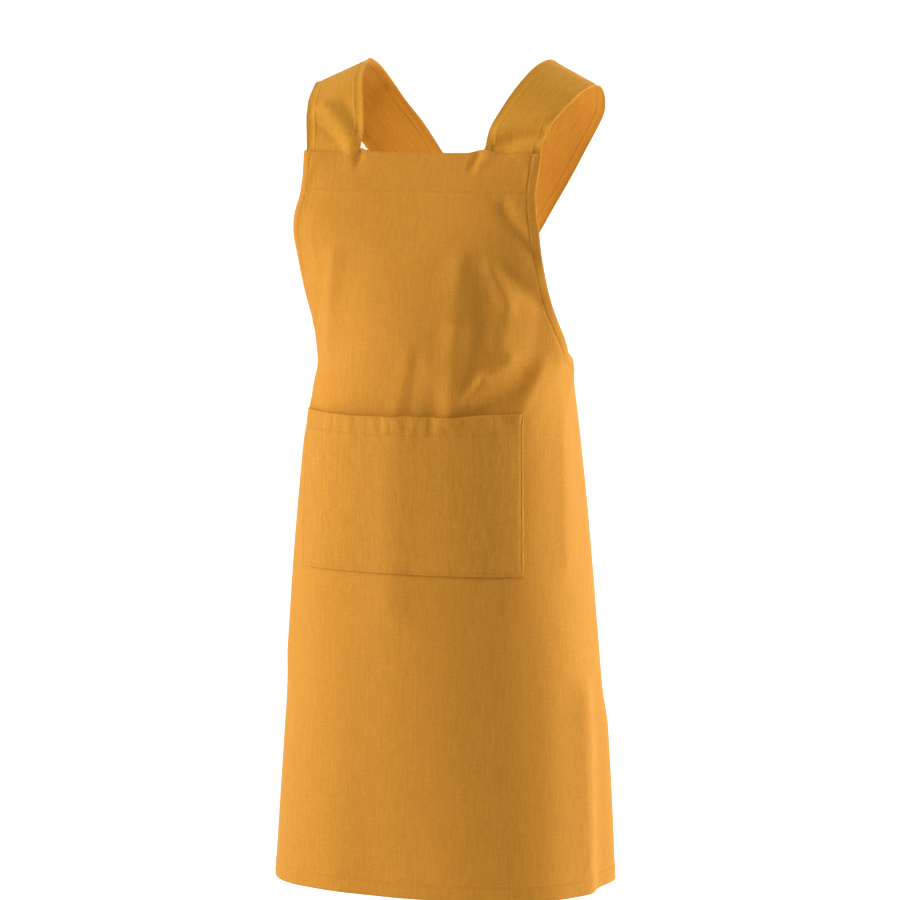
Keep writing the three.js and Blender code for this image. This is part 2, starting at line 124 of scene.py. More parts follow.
def smoothed(known, values, keys):
    """A smooth curve through a table: the values of one column at any keys of another."""
    keys = np.clip(keys, known[0], known[-1])
    at = np.clip(np.searchsorted(known, keys) - 1, 0, len(known) - 2)
    index = np.arange(len(known))
    before, after = np.maximum(index - 1, 0), np.minimum(index + 1, len(known) - 1)
    slopes = (values[after] - values[before]) / (known[after] - known[before])
    span = known[at + 1] - known[at]
    t = (keys - known[at]) / span
    start = (1 + 2 * t) * (1 - t) ** 2 * values[at] + t * (1 - t) ** 2 * span * slopes[at]
    end = t * t * (3 - 2 * t) * values[at + 1] - t * t * (1 - t) * span * slopes[at + 1]
    return start + end


def mix(start, end, share):
    """A value part of the way from one to another."""
    return start + (end - start) * share


def armhole_reach(z):
    """How far the cloth reaches from the centre line at a height beside the bib."""
    down = (-z - BIB_TOP_DROP) / (ARMHOLE_DROP - BIB_TOP_DROP)
    return mix(BIB_HALF_WIDTH, SIDE_REACH, smoothed(ARMHOLE_EDGE["down"], ARMHOLE_EDGE["out"], down))


def flank_top(reach):
    """The height of the skirt's upper edge behind the armhole."""
    out = (reach - SIDE_REACH) / (BACK_REACH - SIDE_REACH)
    return -mix(ARMHOLE_DROP, BACK_CORNER_DROP, smoothed(FLANK_EDGE["out"], FLANK_EDGE["down"], out))


def back_reach(z):
    """How far the skirt reaches round to the back edge at a height."""
    return mix(BACK_REACH, HEM_REACH, (-z - BACK_CORNER_DROP) / (APRON_DROP - BACK_CORNER_DROP))


print("bib", 2 * BIB_HALF_WIDTH, "m wide, skirt", 2 * HEM_REACH, "m round the hem")

# %% [markdown]
# The cloth is drawn flat first, as a pattern cutter would, and then wrapped on the hollow form. At each
# level the form is a rounded rectangle. Walking round it while adding up the length turns a reach along
# the cloth into a place in space, without stretching the weave sideways. The walk is done once for a
# fine chart of levels and reaches, so that thousands of points can be looked up at once.

# %% Chart of the hanging form
CHART_STEP = 0.002
chart_heights = np.arange(-APRON_DROP - 0.004, -BIB_TOP_DROP + 0.007, CHART_STEP)
chart_reaches = np.arange(0, HEM_REACH + 0.020, CHART_STEP)
turns = np.linspace(0, math.pi, 241)


def chart_row(z):
    """One level of the form, as points at equal lengths of cloth from the front centre."""
    down = -z / APRON_DROP
    width = smoothed(FORM["down"], FORM["width"], down) * HEM_HALF_WIDTH
    front = smoothed(FORM["down"], FORM["front"], down) * HEM_HALF_DEPTH
    back = smoothed(FORM["down"], FORM["back"], down) * HEM_HALF_DEPTH
    square = smoothed(FORM["down"], FORM["square"], down)
    depth = np.where(turns < math.pi / 2, front, back)
    radius = (np.abs(np.cos(turns) / depth) ** square + (np.sin(turns) / width) ** square) ** (-1 / square)
    x, y = radius * np.sin(turns), -radius * np.cos(turns)
    length = np.concatenate(([0], np.cumsum(np.hypot(np.diff(x), np.diff(y)))))
    return np.stack([np.interp(chart_reaches, length, x), np.interp(chart_reaches, length, y)], -1)


chart = np.array([chart_row(z) for z in chart_heights])


def form_point(across, z):
    """The form's surface at a reach across the cloth and a height."""
    level = np.clip((z - chart_heights[0]) / CHART_STEP, 0, len(chart_heights) - 1.001)
    reach = np.clip(np.abs(across) / CHART_STEP, 0, len(chart_reaches) - 1.001)
    row, column = level.astype(int), reach.astype(int)
    up, out = (level - row)[..., None], (reach - column)[..., None]
    lower = mix(chart[row, column], chart[row, column + 1], out)
    upper = mix(chart[row + 1, column], chart[row + 1, column + 1], out)
    spot = mix(lower, upper, up)
    return np.stack([np.sign(across) * spot[..., 0], spot[..., 1] - SHOULDER_SETBACK, z], -1)


def facing(surface, across, z, step):
    """Which way a surface faces, from four neighbouring points of it."""
    sideways = surface(across + step, z) - surface(across - step, z)
    down = surface(across, z - step) - surface(across, z + step)
    normal = np.cross(down, sideways)
    return normal / np.linalg.norm(normal, axis=-1, keepdims=True)


print("chart of", chart.shape[0], "levels and", chart.shape[1], "reaches")

# %% [markdown]
# Cloth that hangs is never quite smooth. Each broad fold here is a soft ridge or hollow between two
# points of the flat pattern: the drag lines at the armholes, the swell at the middle of the bib, the
# rolls down the sides of the skirt. They are measured in half widths of the bib and in lengths of the
# apron. A second table holds the small creases, in metres, and a third says how far the hem hangs above
# level, which is more at the flanks than in front. A simulation could find folds of its own, but not
# the ones that this apron has, so they are listed one by one.

# %% Folds and creases
FOLD_WIDTH = 0.020
FOLD_DEPTH = 0.004
FOLDS = table("across down to_across to_down wide rise", [
    (0.76, 0.152, 1.0, 0.2, 0.9, -0.4),
    (0.87, 0.15, 1.08, 0.187, 0.6, 0.3),
    (-0.64, 0.232, -0.74, 0.31, 1.0, 0.3),
    (-0.52, 0.236, -0.62, 0.306, 1.2, -0.2),
    (0.42, 0.24, 0.3, 0.365, 0.9, 0.6),
    (0.57, 0.262, 0.47, 0.35, 0.9, -0.5),
    (1.3, 0.352, 1.02, 0.402, 0.8, 0.7),
    (1.12, 0.352, 0.8, 0.402, 0.9, -0.6),
    (1.42, 0.4, 1.45, 0.58, 1.1, 0.6),
    (-1.36, 0.46, -1.44, 0.7, 2.0, 1.0),
    (1.62, 0.76, 1.68, 1.02, 1.0, 1.8),
    (-1.62, 0.72, -1.66, 1.02, 1.0, 1.1),
    (2.35, 0.66, 2.5, 1.02, 1.4, -1.2),
    (-2.35, 0.66, -2.5, 1.02, 1.4, -1.2),
])

CREASES = table("across down to_across to_down wide rise", [
    (-0.0740, 0.0840, -0.0745, 0.099, 0.0042, -0.0024),
    (0.0750, 0.0840, 0.0660, 0.104, 0.0044, -0.0022),
    (0.0870, 0.0860, 0.0760, 0.106, 0.0060, 0.0014),
    (-0.0850, 0.0860, -0.0830, 0.104, 0.0060, 0.0010),
    (0.1280, 0.094, 0.1400, 0.128, 0.0050, 0.0008),
    (-0.1300, 0.094, -0.1380, 0.126, 0.0050, 0.0007),
    (0.1120, 0.148, 0.1520, 0.206, 0.0070, -0.0028),
    (0.1260, 0.140, 0.1560, 0.190, 0.0070, 0.0008),
    (-0.1400, 0.275, -0.1600, 0.300, 0.0040, -0.0010),
    (-0.1500, 0.268, -0.1680, 0.292, 0.0050, 0.0009),
    (-0.0920, 0.205, -0.1200, 0.312, 0.0100, 0.0020),
    (-0.1260, 0.188, -0.1200, 0.226, 0.0040, 0.0011),
    (0.0020, 0.318, -0.0100, 0.384, 0.0070, 0.0011),
    (0.0150, 0.316, 0.0060, 0.384, 0.0080, -0.0012),
    (0.0680, 0.210, 0.0630, 0.290, 0.0110, 0.0024),
    (0.0620, 0.290, 0.0540, 0.386, 0.0100, 0.0034),
    (0.0360, 0.300, 0.0340, 0.384, 0.0110, -0.0012),
    (0.1020, 0.216, 0.1180, 0.258, 0.0095, 0.0046),
    (0.1180, 0.258, 0.1080, 0.302, 0.0150, 0.0050),
    (0.1140, 0.218, 0.1580, 0.257, 0.0085, -0.0032),
    (0.1620, 0.270, 0.1520, 0.322, 0.0160, -0.0036),
    (0.0740, 0.370, 0.0900, 0.346, 0.0075, 0.0044),
    (0.0900, 0.346, 0.1220, 0.322, 0.0075, 0.0044),
    (0.0900, 0.270, 0.0740, 0.350, 0.0140, -0.0018),
    (0.1380, 0.340, 0.0880, 0.382, 0.0120, -0.0048),
    (0.1660, 0.332, 0.1310, 0.382, 0.0090, 0.0046),
    (0.1980, 0.302, 0.2320, 0.342, 0.0200, 0.0028),
    (0.3000, 0.760, 0.3180, 0.960, 0.0350, 0.0046),
    (-0.2250, 0.350, -0.2300, 0.364, 0.0120, -0.0024),
    (-0.0080, 0.400, -0.0080, 0.600, 0.0260, 0.0034),
    (-0.0060, 0.600, 0.0100, 0.940, 0.0300, 0.0022),
    (-0.1700, 0.352, -0.1500, 0.382, 0.0060, 0.0009),
    (-0.1760, 0.362, -0.1580, 0.390, 0.0050, -0.0008),
    (0.2000, 0.400, 0.2050, 0.560, 0.0080, 0.0010),
    (0.0300, 0.600, 0.0500, 0.940, 0.0260, 0.0010),
    (-0.0900, 0.620, -0.1100, 0.940, 0.0240, -0.0010),
    (0.1500, 0.640, 0.1650, 0.940, 0.0200, -0.0012),
])

HEM_RAISE_DOWN = 0.780
HEM_RAISE = table("across rise", [
    (-0.47, 0.0080), (-0.20, 0.0080), (-0.12, 0.0065), (0.0, 0.0035),
    (0.16, 0.0038), (0.24, 0.0044), (0.31, 0.0080), (0.47, 0.0090),
])

SWAY_TOP = 0.40
SWAY_RUN = 0.45
SWAY_RISE = 0.0005
PULL_RISE = 0.0040
PULL_MIDDLE = 0.079
PULL_FADE = 0.014
FORM_STEP = 0.002
CLOTH_STEP = 0.004


def ridge(away, middle, wide):
    """A soft ridge, one high, at a place along a distance."""
    return np.exp(-((away - middle) / wide) ** 2)


def ripple(run, pitch, drift, drift_pitch):
    """Even waves along a run, whose pitch drifts a little on the way."""
    return np.sin(run / pitch + drift * np.sin(run / drift_pitch))


def lift(lines, across, z, size=(1.0, 1.0), wide=1.0, rise=1.0):
    """How far the lines of a table raise the cloth: each is a soft ridge between two pattern points."""
    total = np.zeros(np.shape(across))
    for x0, down0, x1, down1, line_wide, line_rise in zip(*lines.values()):
        start = np.array([x0 * size[0], -down0 * size[1]])
        run = np.array([x1 * size[0], -down1 * size[1]]) - start
        here = np.stack([across - start[0], z - start[1]], -1)
        share = np.clip(here @ run / (run @ run), 0, 1)
        away = np.linalg.norm(here - share[..., None] * run, axis=-1) / (line_wide * wide)
        total += line_rise * rise * np.exp(-away * away)
    return total


def sway(across, z):
    """Slow, shallow waves that grow from the waist to the hem."""
    fall = np.clip((-z - SWAY_TOP) / SWAY_RUN, 0, 1)
    broad = np.sin(across / 0.021 + 1.1 * np.sin(z / 0.11))
    narrow = np.sin(across / 0.0125 + z / 0.17 + 1.3)
    return SWAY_RISE * fall * (broad + 0.7 * narrow)


def cloth_rise(across, z):
    """How far folds, creases and waves raise the cloth from the form."""
    broad = lift(FOLDS, across, z, (BIB_HALF_WIDTH, APRON_DROP), FOLD_WIDTH, FOLD_DEPTH)
    return broad + lift(CREASES, across, z) + sway(across, z)


def cloth_point(across, z):
    """The outer face of the cloth, folds and all."""
    outward = facing(form_point, across, z, FORM_STEP)
    return form_point(across, z) + outward * cloth_rise(across, z)[..., None]


def strap_pull(across, z):
    """How far the inner edges of the straps draw the bib's top edge up."""
    fade = np.exp((z + BIB_TOP_DROP) / PULL_FADE)
    return PULL_RISE * ridge(np.abs(across), PULL_MIDDLE, PULL_FADE) * fade


def hem_raise(across, z):
    """How much higher the hem hangs than level: a little in front, more round the flanks."""
    share = np.clip((HEM_RAISE_DOWN + z) / (HEM_RAISE_DOWN - APRON_DROP + BOTTOM_HEM), 0, 1)
    return smoothed(HEM_RAISE["across"], HEM_RAISE["rise"], across) * share * share * (3 - 2 * share)


def layer_point(flat, depth):
    """A layer of cloth: pattern points, moved in from the outer face by a depth."""
    across, z = flat[..., 0], flat[..., 1]
    z = z + strap_pull(across, z) + hem_raise(across, z)
    inward = -facing(cloth_point, across, z, CLOTH_STEP)
    return cloth_point(across, z) + inward * np.asarray(depth)[..., None]


print(len(FOLDS["wide"]), "folds and", len(CREASES["wide"]), "creases")

# %% [markdown]
# A hem is the cloth folded back on itself and sewn down. From outside it shows as a rounded edge, a
# faint step where the second layer ends, and a line of stitches pressed into the canvas. The rounded
# edge is a half circle between the two layers, so the front layer curls inward near its edge and the
# hem behind curls out to meet it. The distances to the edges are measured on the flat pattern.

# %% Folded edges, steps and stitch lines
FRONT_LAYER = CLOTH / 2
HEM_LAYER = 0.0022
FOLD_MIDDLE = (FRONT_LAYER + HEM_LAYER) / 2
FOLD_RADIUS = (HEM_LAYER - FRONT_LAYER) / 2
FOLD_STOPS = [FOLD_RADIUS * (1 - math.cos(math.radians(turn))) for turn in (0, 30, 60, 90)]

SIDE_STITCH = 0.0103
TOP_STITCH = 0.0430
BOTTOM_STITCH = 0.0163
TOP_PRESS = 0.4
SIDE_PRESS = 1.5
BOTTOM_PRESS = 0.6

STEP_RISE = 0.000175
STEP_BEYOND = 0.0007
STEP_SOFT = 0.0008
GROOVE_DEPTH = 0.0005
GROOVE_WIDE = 0.0008
PUCKER_RISE = 0.00022
PUCKER_WIDE = 0.0045


def curl(away):
    """How far in from the middle of the fold a layer still is, at a distance from the edge."""
    near = np.clip(away / FOLD_RADIUS, 0, 1)
    return FOLD_RADIUS * np.sqrt(1 - (1 - near) ** 2)


def side_line():
    """The armhole, the skirt's upper edge and the back edge, as one line on the pattern."""
    beside = [(armhole_reach(z), z) for z in np.linspace(-BIB_TOP_DROP, -ARMHOLE_DROP, 80)]
    over = [(reach, flank_top(reach)) for reach in np.linspace(SIDE_REACH, BACK_REACH, 70)[1:]]
    down = [(back_reach(z), z) for z in (-BACK_CORNER_DROP - 0.001, -APRON_DROP - 0.05)]
    return np.array(beside + over + down)


def line_distance(flat, line):
    """The shortest way from each pattern point to a line."""
    nearest = np.full(flat.shape[:-1], np.inf)
    for start, end in zip(line[:-1], line[1:]):
        run = end - start
        here = flat - start
        share = np.clip(here @ run / (run @ run), 0, 1)
        nearest = np.minimum(nearest, np.linalg.norm(here - share[..., None] * run, axis=-1))
    return nearest


def edge_distances(flat):
    """From the bib's top edge, from the side edges and from the hem."""
    folded = np.stack([np.abs(flat[..., 0]), flat[..., 1]], -1)
    side = line_distance(folded, side_line())
    return -BIB_TOP_DROP - flat[..., 1], side, flat[..., 1] + APRON_DROP


def hem_step(away, hem, rise=STEP_RISE, beyond=STEP_BEYOND, soft=STEP_SOFT):
    """The step down where the second layer of a hem ends."""
    return rise * (1 - np.tanh((away - hem - beyond) / soft))


def hem_relief(away, hem, stitch, along, press):
    """The step over a hem, and the stitch line that presses it in and puckers it."""
    groove = GROOVE_DEPTH * ridge(away, stitch, GROOVE_WIDE)
    wave = ripple(along, 0.0023, 2.0, 0.017) + 0.6 * np.sin(along / 0.0046 + 1.0)
    pucker = PUCKER_RISE * wave * ridge(away, stitch, PUCKER_WIDE)
    return hem_step(away, hem) + (pucker - groove) * press


def panel_depth(flat):
    """How deep the middle of the big piece of cloth lies at each pattern point."""
    top, side, foot = edge_distances(flat)
    edge = np.minimum(np.minimum(top, side), foot)
    relief = hem_relief(top, TOP_HEM, TOP_STITCH, flat[..., 0], TOP_PRESS)
    relief = relief + hem_relief(side, SIDE_HEM, SIDE_STITCH, flat[..., 1], SIDE_PRESS)
    relief = relief + hem_relief(foot, BOTTOM_HEM, BOTTOM_STITCH, flat[..., 0], BOTTOM_PRESS)
    return FOLD_MIDDLE - curl(np.maximum(edge, 0)) - np.where(edge > FOLD_RADIUS, relief, 0)


print("fold radius", round(FOLD_RADIUS * 1000, 2), "mm")

# %% [markdown]
# Every piece of cloth starts as Blender's own grid. One helper numbers its corners by row and column,
# moves each corner to its place, keeps the flat pattern as a UV map in metres for the weave, and lets
# a Solidify modifier give the cloth its thickness. Cells that the pattern hasn't got are cut away.

# %% A helper that lays a grid


def filled(stops, step):
    """Stops with further ones between them, no more than a step apart."""
    result = [stops[0]]
    for stop in stops[1:]:
        count = max(1, math.ceil((stop - result[-1]) / step - 0.001))
        start = result[-1]
        result += [start + (stop - start) * (index + 1) / count for index in range(count)]
    return result


def laid_grid(name, row_count, column_count, pattern, place, thickness, keep=None):
    """A piece of cloth on a grid. pattern(row, column) is flat, place turns flat points into space."""
    bm = bmesh.new()
    bmesh.ops.create_grid(bm, x_segments=column_count, y_segments=row_count, size=1)
    bm.verts.ensure_lookup_table()
    rows = [round((1 - vert.co.y) / 2 * row_count) for vert in bm.verts]
    columns = [round((1 + vert.co.x) / 2 * column_count) for vert in bm.verts]
    flat = np.array([pattern(row, column) for row, column in zip(rows, columns)])
    for vert, spot in zip(bm.verts, place(flat)):
        vert.co = spot
    uv = bm.loops.layers.uv.new("flat")
    for face in bm.faces:
        for loop in face.loops:
            loop[uv].uv = flat[loop.vert.index]
        face.smooth = True
    if keep:
        spare = []
        for face in bm.faces:
            row = min(rows[vert.index] for vert in face.verts)
            column = min(columns[vert.index] for vert in face.verts)
            if not keep(row, column):
                spare.append(face)
        bmesh.ops.delete(bm, geom=spare, context="FACES")
    return cloth_object(name, bm, thickness)


def cloth_object(name, bm, thickness):
    """The bmesh as an object with a wall of cloth on both sides of it."""
    mesh = bpy.data.meshes.new(name)
    bm.to_mesh(mesh)
    bm.free()
    piece = bpy.data.objects.new(name, mesh)
    bpy.context.scene.collection.objects.link(piece)
    if thickness:
        wall = piece.modifiers.new("wall", "SOLIDIFY")
        wall.thickness = thickness
        wall.offset = 0
        wall.use_even_offset = True
        wall.use_quality_normals = True
    print(name, len(mesh.vertices), "corners,", len(mesh.polygons), "faces")
    return piece


# %% [markdown]
# The bib and the skirt are one piece of canvas. Its rows and columns run close together at the folded
# edges and at the stitch lines, where the surface turns quickly, and wider apart between. Columns that
# follow the armhole carry on into the skirt, and the flanks begin at its foot.

# %% Body panel
CELL = 0.0039
SEAM_STOPS = [away * 0.001 for away in (3, 6, 9, 9.8, 10.4, 11, 11.8, 12.4, 13.2)]
STRIP = SEAM_STOPS[-1]
FOOT_STOPS = [away * 0.001 for away in (4, 8, 12, 15, 15.8, 16.4, 17, 18, 18.6, 19.6)]
FOOT_STRIP = FOOT_STOPS[-1]
BAND_STOPS = [away * 0.001 for away in (3, 6, 41.6, 42.4, 43.0, 43.6, 44.4, 45.2, 46.0, 47.0)]

bib_rows = filled(FOLD_STOPS + BAND_STOPS + [ARMHOLE_DROP - BIB_TOP_DROP], CELL)
open_skirt = APRON_DROP - ARMHOLE_DROP - STRIP - FOOT_STRIP
open_rows = filled([0, open_skirt], CELL * 1.1)
skirt_rows = [("below top", away) for away in FOLD_STOPS[1:] + SEAM_STOPS[:-1]]
skirt_rows += [("between", down / open_skirt) for down in open_rows]
skirt_rows += [("above hem", away) for away in reversed(FOLD_STOPS + FOOT_STOPS[:-1])]

bib_open = filled([0, SIDE_REACH - STRIP], CELL * 1.25)
flank_open = filled([0, BACK_REACH - SIDE_REACH - STRIP], CELL)
half_columns = [("bib", reach / bib_open[-1]) for reach in bib_open[:-1]]
half_columns += [("side", away) for away in reversed(FOLD_STOPS + SEAM_STOPS)]
BIB_EDGE = len(half_columns) - 1
half_columns += [("flank", reach / flank_open[-1]) for reach in flank_open[1:-1]]
half_columns += [("back", away) for away in reversed(FOLD_STOPS + SEAM_STOPS)]
BACK_EDGE = len(half_columns) - 1
FOOT_ROW = len(bib_rows) - 1


def column_reach(kind, value, side, back):
    """Where a column lies, between the centre line, the side of the bib and the back edge."""
    if kind == "bib":
        return (side - STRIP) * value
    if kind == "side":
        return side - value
    if kind == "flank":
        return side + (back - STRIP - side) * value
    return back - value


def panel_pattern(row, column):
    """Where a corner of the grid lies on the flat pattern of the bib and skirt."""
    side = 1 if column > BACK_EDGE else -1
    kind, value = half_columns[abs(column - BACK_EDGE)]
    if row <= FOOT_ROW:
        z = -BIB_TOP_DROP - bib_rows[row]
        edge = float(armhole_reach(np.array(z)))
        if row < FOOT_ROW or kind in ("bib", "side"):
            return side * column_reach(kind, value, edge, BACK_REACH), z
    top_reach = column_reach(kind, value, SIDE_REACH, BACK_REACH)
    foot_reach = column_reach(kind, value, SIDE_REACH * HEM_REACH / BACK_REACH, HEM_REACH)
    top = float(flank_top(np.array(top_reach))) if kind in ("flank", "back") else -ARMHOLE_DROP
    z = top
    if row > FOOT_ROW:
        where, amount = skirt_rows[row - FOOT_ROW - 1]
        if where == "below top":
            z = top - amount
        elif where == "between":
            z = mix(top - STRIP, -APRON_DROP + FOOT_STRIP, amount)
        else:
            z = -APRON_DROP + amount
    return side * mix(top_reach, foot_reach, (top - z) / (top + APRON_DROP)), z


def on_panel(row, column):
    """Whether the pattern has a cell below and to the right of this corner."""
    return row >= FOOT_ROW or BACK_EDGE - BIB_EDGE <= column < BACK_EDGE + BIB_EDGE


body = laid_grid(
    "body_cloth", FOOT_ROW + len(skirt_rows), 2 * BACK_EDGE, panel_pattern,
    lambda flat: layer_point(flat, panel_depth(flat)), CLOTH, on_panel,
)
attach(body, "root")
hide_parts("body_panel")

# %% [markdown]
# Behind the edges lie the hems. The top and bottom hems run straight across, so their columns are
# shares of the width at each height. The narrow hems follow a line on the pattern, and each row of
# theirs is a step inward from it.

# %% Hems
HEM_STOPS = FOLD_STOPS + [0.004, 0.008]
HEM_GAP = 0.0006


def hem_depth(away):
    """How deep a hem lies at a distance from its fold."""
    return FOLD_MIDDLE + curl(np.maximum(away, 0))


def level_hem(name, top, sign, height, reach_at, step):
    """A hem that runs across at one height, with its fold at the top or at the foot."""
    stops = filled(HEM_STOPS + [height], 0.006)
    columns = filled([-1.0, 1.0], step / HEM_REACH)

    def pattern(row, column):
        z = top + sign * stops[row]
        return columns[column] * (float(reach_at(np.array(z))) - HEM_GAP), z

    def place(flat):
        return layer_point(flat, hem_depth(np.abs(flat[..., 1] - top)))

    return laid_grid(name, len(stops) - 1, len(columns) - 1, pattern, place, CLOTH)


def edge_hem(name, side, line, end_turn=None):
    """A narrow hem behind a line on the pattern, on one side of the apron."""
    stops = HEM_STOPS + [SIDE_HEM]
    runs = np.gradient(line, axis=0)
    runs /= np.linalg.norm(runs, axis=1, keepdims=True)
    inward = np.stack([runs[:, 1], -runs[:, 0]], -1)
    if end_turn is not None:
        inward[-1] = end_turn / (end_turn @ inward[-1])

    def pattern(row, column):
        spot = line[column] + inward[column] * stops[row]
        return side * spot[0], spot[1]

    def place(flat):
        folded = np.stack([np.abs(flat[..., 0]), flat[..., 1]], -1)
        return layer_point(flat, hem_depth(line_distance(folded, line)))

    return laid_grid(name, len(stops) - 1, len(line) - 1, pattern, place, CLOTH)


top_hem = level_hem("top_hem_cloth", -BIB_TOP_DROP, -1, TOP_HEM, armhole_reach, 0.012)
foot_hem = level_hem("foot_hem_cloth", -APRON_DROP, 1, BOTTOM_HEM, back_reach, 0.0055)

whole_side = side_line()
armhole_line = np.array([spot for spot in whole_side[:-2] if spot[1] < -BIB_TOP_DROP - TOP_HEM - 0.001])
back_run = np.array([HEM_REACH - BACK_REACH, BACK_CORNER_DROP - APRON_DROP])
back_run = back_run / np.linalg.norm(back_run)
back_heights = np.linspace(-BACK_CORNER_DROP - 0.015, -APRON_DROP + BOTTOM_HEM + 0.001, 110)
back_line = np.array([(float(back_reach(z)), z) for z in back_heights])

hems = {"bib_top_hem": top_hem, "bottom_hem": foot_hem}
for side, word in ((1, "left"), (-1, "right")):
    hems[f"armhole_hem_{word}"] = edge_hem(f"armhole_hem_cloth_{word}", side, armhole_line, back_run)
    hems[f"back_hem_{word}"] = edge_hem(f"back_hem_cloth_{word}", side, back_line)
for node, piece in hems.items():
    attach(piece, "root")
    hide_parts(node)

# %% [markdown]
# The pocket is a patch of the same canvas with its edges turned under and sewn to the skirt. Its sides
# and foot dip to the skirt in a rounded edge. Its mouth has a hem of its own and stands 7 mm off the
# skirt at the middle. Small upright ripples run through the mouth's hem, where its stitching gathers
# it a little.

# %% Pocket
POCKET_HALF = POCKET_WIDTH / 2
POCKET_LIFT = 0.0030
POCKET_FOOT_LIFT = 0.0018
POCKET_HEM_LIFT = 0.0014
POCKET_HEM_CURL = 0.94
POCKET_HEM_SHORT = 0.0125
POCKET_EDGE_LIFT = 0.0007
EDGE_ROLL = 0.0020
ROLL_STOPS = [EDGE_ROLL * (1 - math.cos(math.radians(turn))) for turn in (0, 25, 50, 70, 90)]
POCKET_STITCH = 0.0030
POCKET_HEM_STITCH = 0.0215
POCKET_CENTRE = -0.0005
POCKET_RISE = (0.0010, 0.0030, 0.0040, 0.0020)
POCKET_SAG = 0.0045
POCKET_TAPER = 0.08
POCKET_RIPPLE = 0.00055
RIPPLE_AT = 0.012
RIPPLE_WIDE = 0.014
POCKET_PUCKER = 0.00025
POCKET_SIDE_PRESS = 0.0007
POCKET_FOOT_PRESS = 0.0003


def pocket_spot(flat):
    """Where the pocket's own pattern lies on the panel: it leans, and its corners sit a little high."""
    across, down = flat[..., 0], -flat[..., 1]
    right, foot = 0.5 + across / POCKET_WIDTH, down / POCKET_HEIGHT
    rise = mix(mix(POCKET_RISE[0], POCKET_RISE[1], right), mix(POCKET_RISE[2], POCKET_RISE[3], right), foot)
    sag = POCKET_SAG * (1 - (2 * across / POCKET_WIDTH) ** 2) * np.maximum(1 - foot, 0) ** 2
    spot = [across + POCKET_CENTRE - POCKET_LEAN * (1 - foot), rise - sag - POCKET_DROP - down]
    return np.stack(spot, -1)


def pocket_gape(across, down):
    """How far the pocket gapes at its mouth, with the ripples of its hem."""
    over = np.maximum(1 - (across / (POCKET_HALF - POCKET_SEAM)) ** 2, 0)
    sink = np.maximum(1 - (down / (POCKET_HEIGHT - POCKET_SEAM)) ** 2, 0)
    wave = ripple(across, 0.0025, 0.8, 0.019) + 0.5 * np.sin(across / 0.0046 + 2)
    fade = ridge(down, RIPPLE_AT, RIPPLE_WIDE) * np.clip(over * 3, 0, 1)
    return POCKET_GAPE * over ** 1.3 * sink + POCKET_RIPPLE * wave * fade


def pocket_lift(across, down):
    """How far the middle of the pocket's cloth stands off the skirt."""
    side, foot = POCKET_HALF - np.abs(across), POCKET_HEIGHT - down
    edge = np.maximum(np.minimum(side, foot), 0)
    near = np.clip(edge / EDGE_ROLL, 0, 1)
    raised = mix(POCKET_FOOT_LIFT, POCKET_LIFT, np.clip(foot / POCKET_TAPER, 0, 1))
    rolled = mix(POCKET_EDGE_LIFT, raised, np.sqrt(1 - (1 - near) ** 2))
    mouth = FOLD_RADIUS - curl(np.maximum(down, 0))
    pressed = np.where(side < foot, POCKET_SIDE_PRESS, POCKET_FOOT_PRESS)
    lines = pressed * ridge(edge, POCKET_STITCH, 0.0010)
    lines += POCKET_FOOT_PRESS * ridge(down, POCKET_HEM_STITCH, 0.0009)
    run = np.where(side < foot, down, across)
    lines += POCKET_PUCKER * ripple(run, 0.0031, 1.0, 0.012) * ridge(edge, 0.0, 0.006)
    return rolled - mouth - lines + hem_step(down, POCKET_HEM, beyond=0.0006) + pocket_gape(across, down)


pocket_stops = [0.0023, 0.0030, 0.0037, 0.0046, 0.0070, 0.0100]
pocket_sides = filled(ROLL_STOPS + pocket_stops + [POCKET_HALF], 0.0036)
pocket_columns = [-POCKET_HALF + away for away in pocket_sides]
pocket_columns += [POCKET_HALF - away for away in reversed(pocket_sides[:-1])]
pocket_top = FOLD_STOPS + [0.004, 0.0200, 0.0208, 0.0215, 0.0222, 0.0230, 0.0238, 0.0248]
pocket_foot = [POCKET_HEIGHT - away for away in reversed(ROLL_STOPS + pocket_stops)]
pocket_rows = filled(pocket_top + pocket_foot, 0.0040)


def pocket_pattern(row, column):
    """Where a corner of the grid lies on the pocket's flat pattern."""
    return pocket_columns[column], -pocket_rows[row]


def pocket_place(flat):
    """The pocket's cloth in space."""
    return layer_point(pocket_spot(flat), -pocket_lift(flat[..., 0], -flat[..., 1]))


pocket = laid_grid(
    "pocket_cloth", len(pocket_rows) - 1, len(pocket_columns) - 1, pocket_pattern, pocket_place, CLOTH
)


def pocket_hem_place(flat):
    """The hem behind the pocket's mouth in space."""
    across, down = flat[..., 0], -flat[..., 1]
    fold = (POCKET_LIFT + POCKET_HEM_LIFT) / 2
    lifted = fold - curl(np.maximum(down, 0)) * POCKET_HEM_CURL + pocket_gape(across, down)
    return layer_point(pocket_spot(flat), -lifted)


hem_half = POCKET_HALF - POCKET_HEM_SHORT
hem_columns = filled([-hem_half, hem_half], 0.0036)
hem_rows = filled(HEM_STOPS + [POCKET_HEM], 0.006)
pocket_hem = laid_grid(
    "pocket_hem_cloth", len(hem_rows) - 1, len(hem_columns) - 1,
    lambda row, column: (hem_columns[column], -hem_rows[row]), pocket_hem_place, CLOTH,
)
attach(pocket, "root")
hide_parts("pocket")
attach(pocket_hem, "root")
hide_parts("pocket_top_hem")

# %% [markdown]
# A strap is a long band that turns as it goes: upright behind the bib, tilted over the shoulder, and
# crossing its fellow on the back. Lines are drawn along it at each place across its width, and a
# smooth curve is run through the points of each line. The curve is the centripetal Catmull-Rom one,
# which doesn't loop or overshoot where points lie close together.

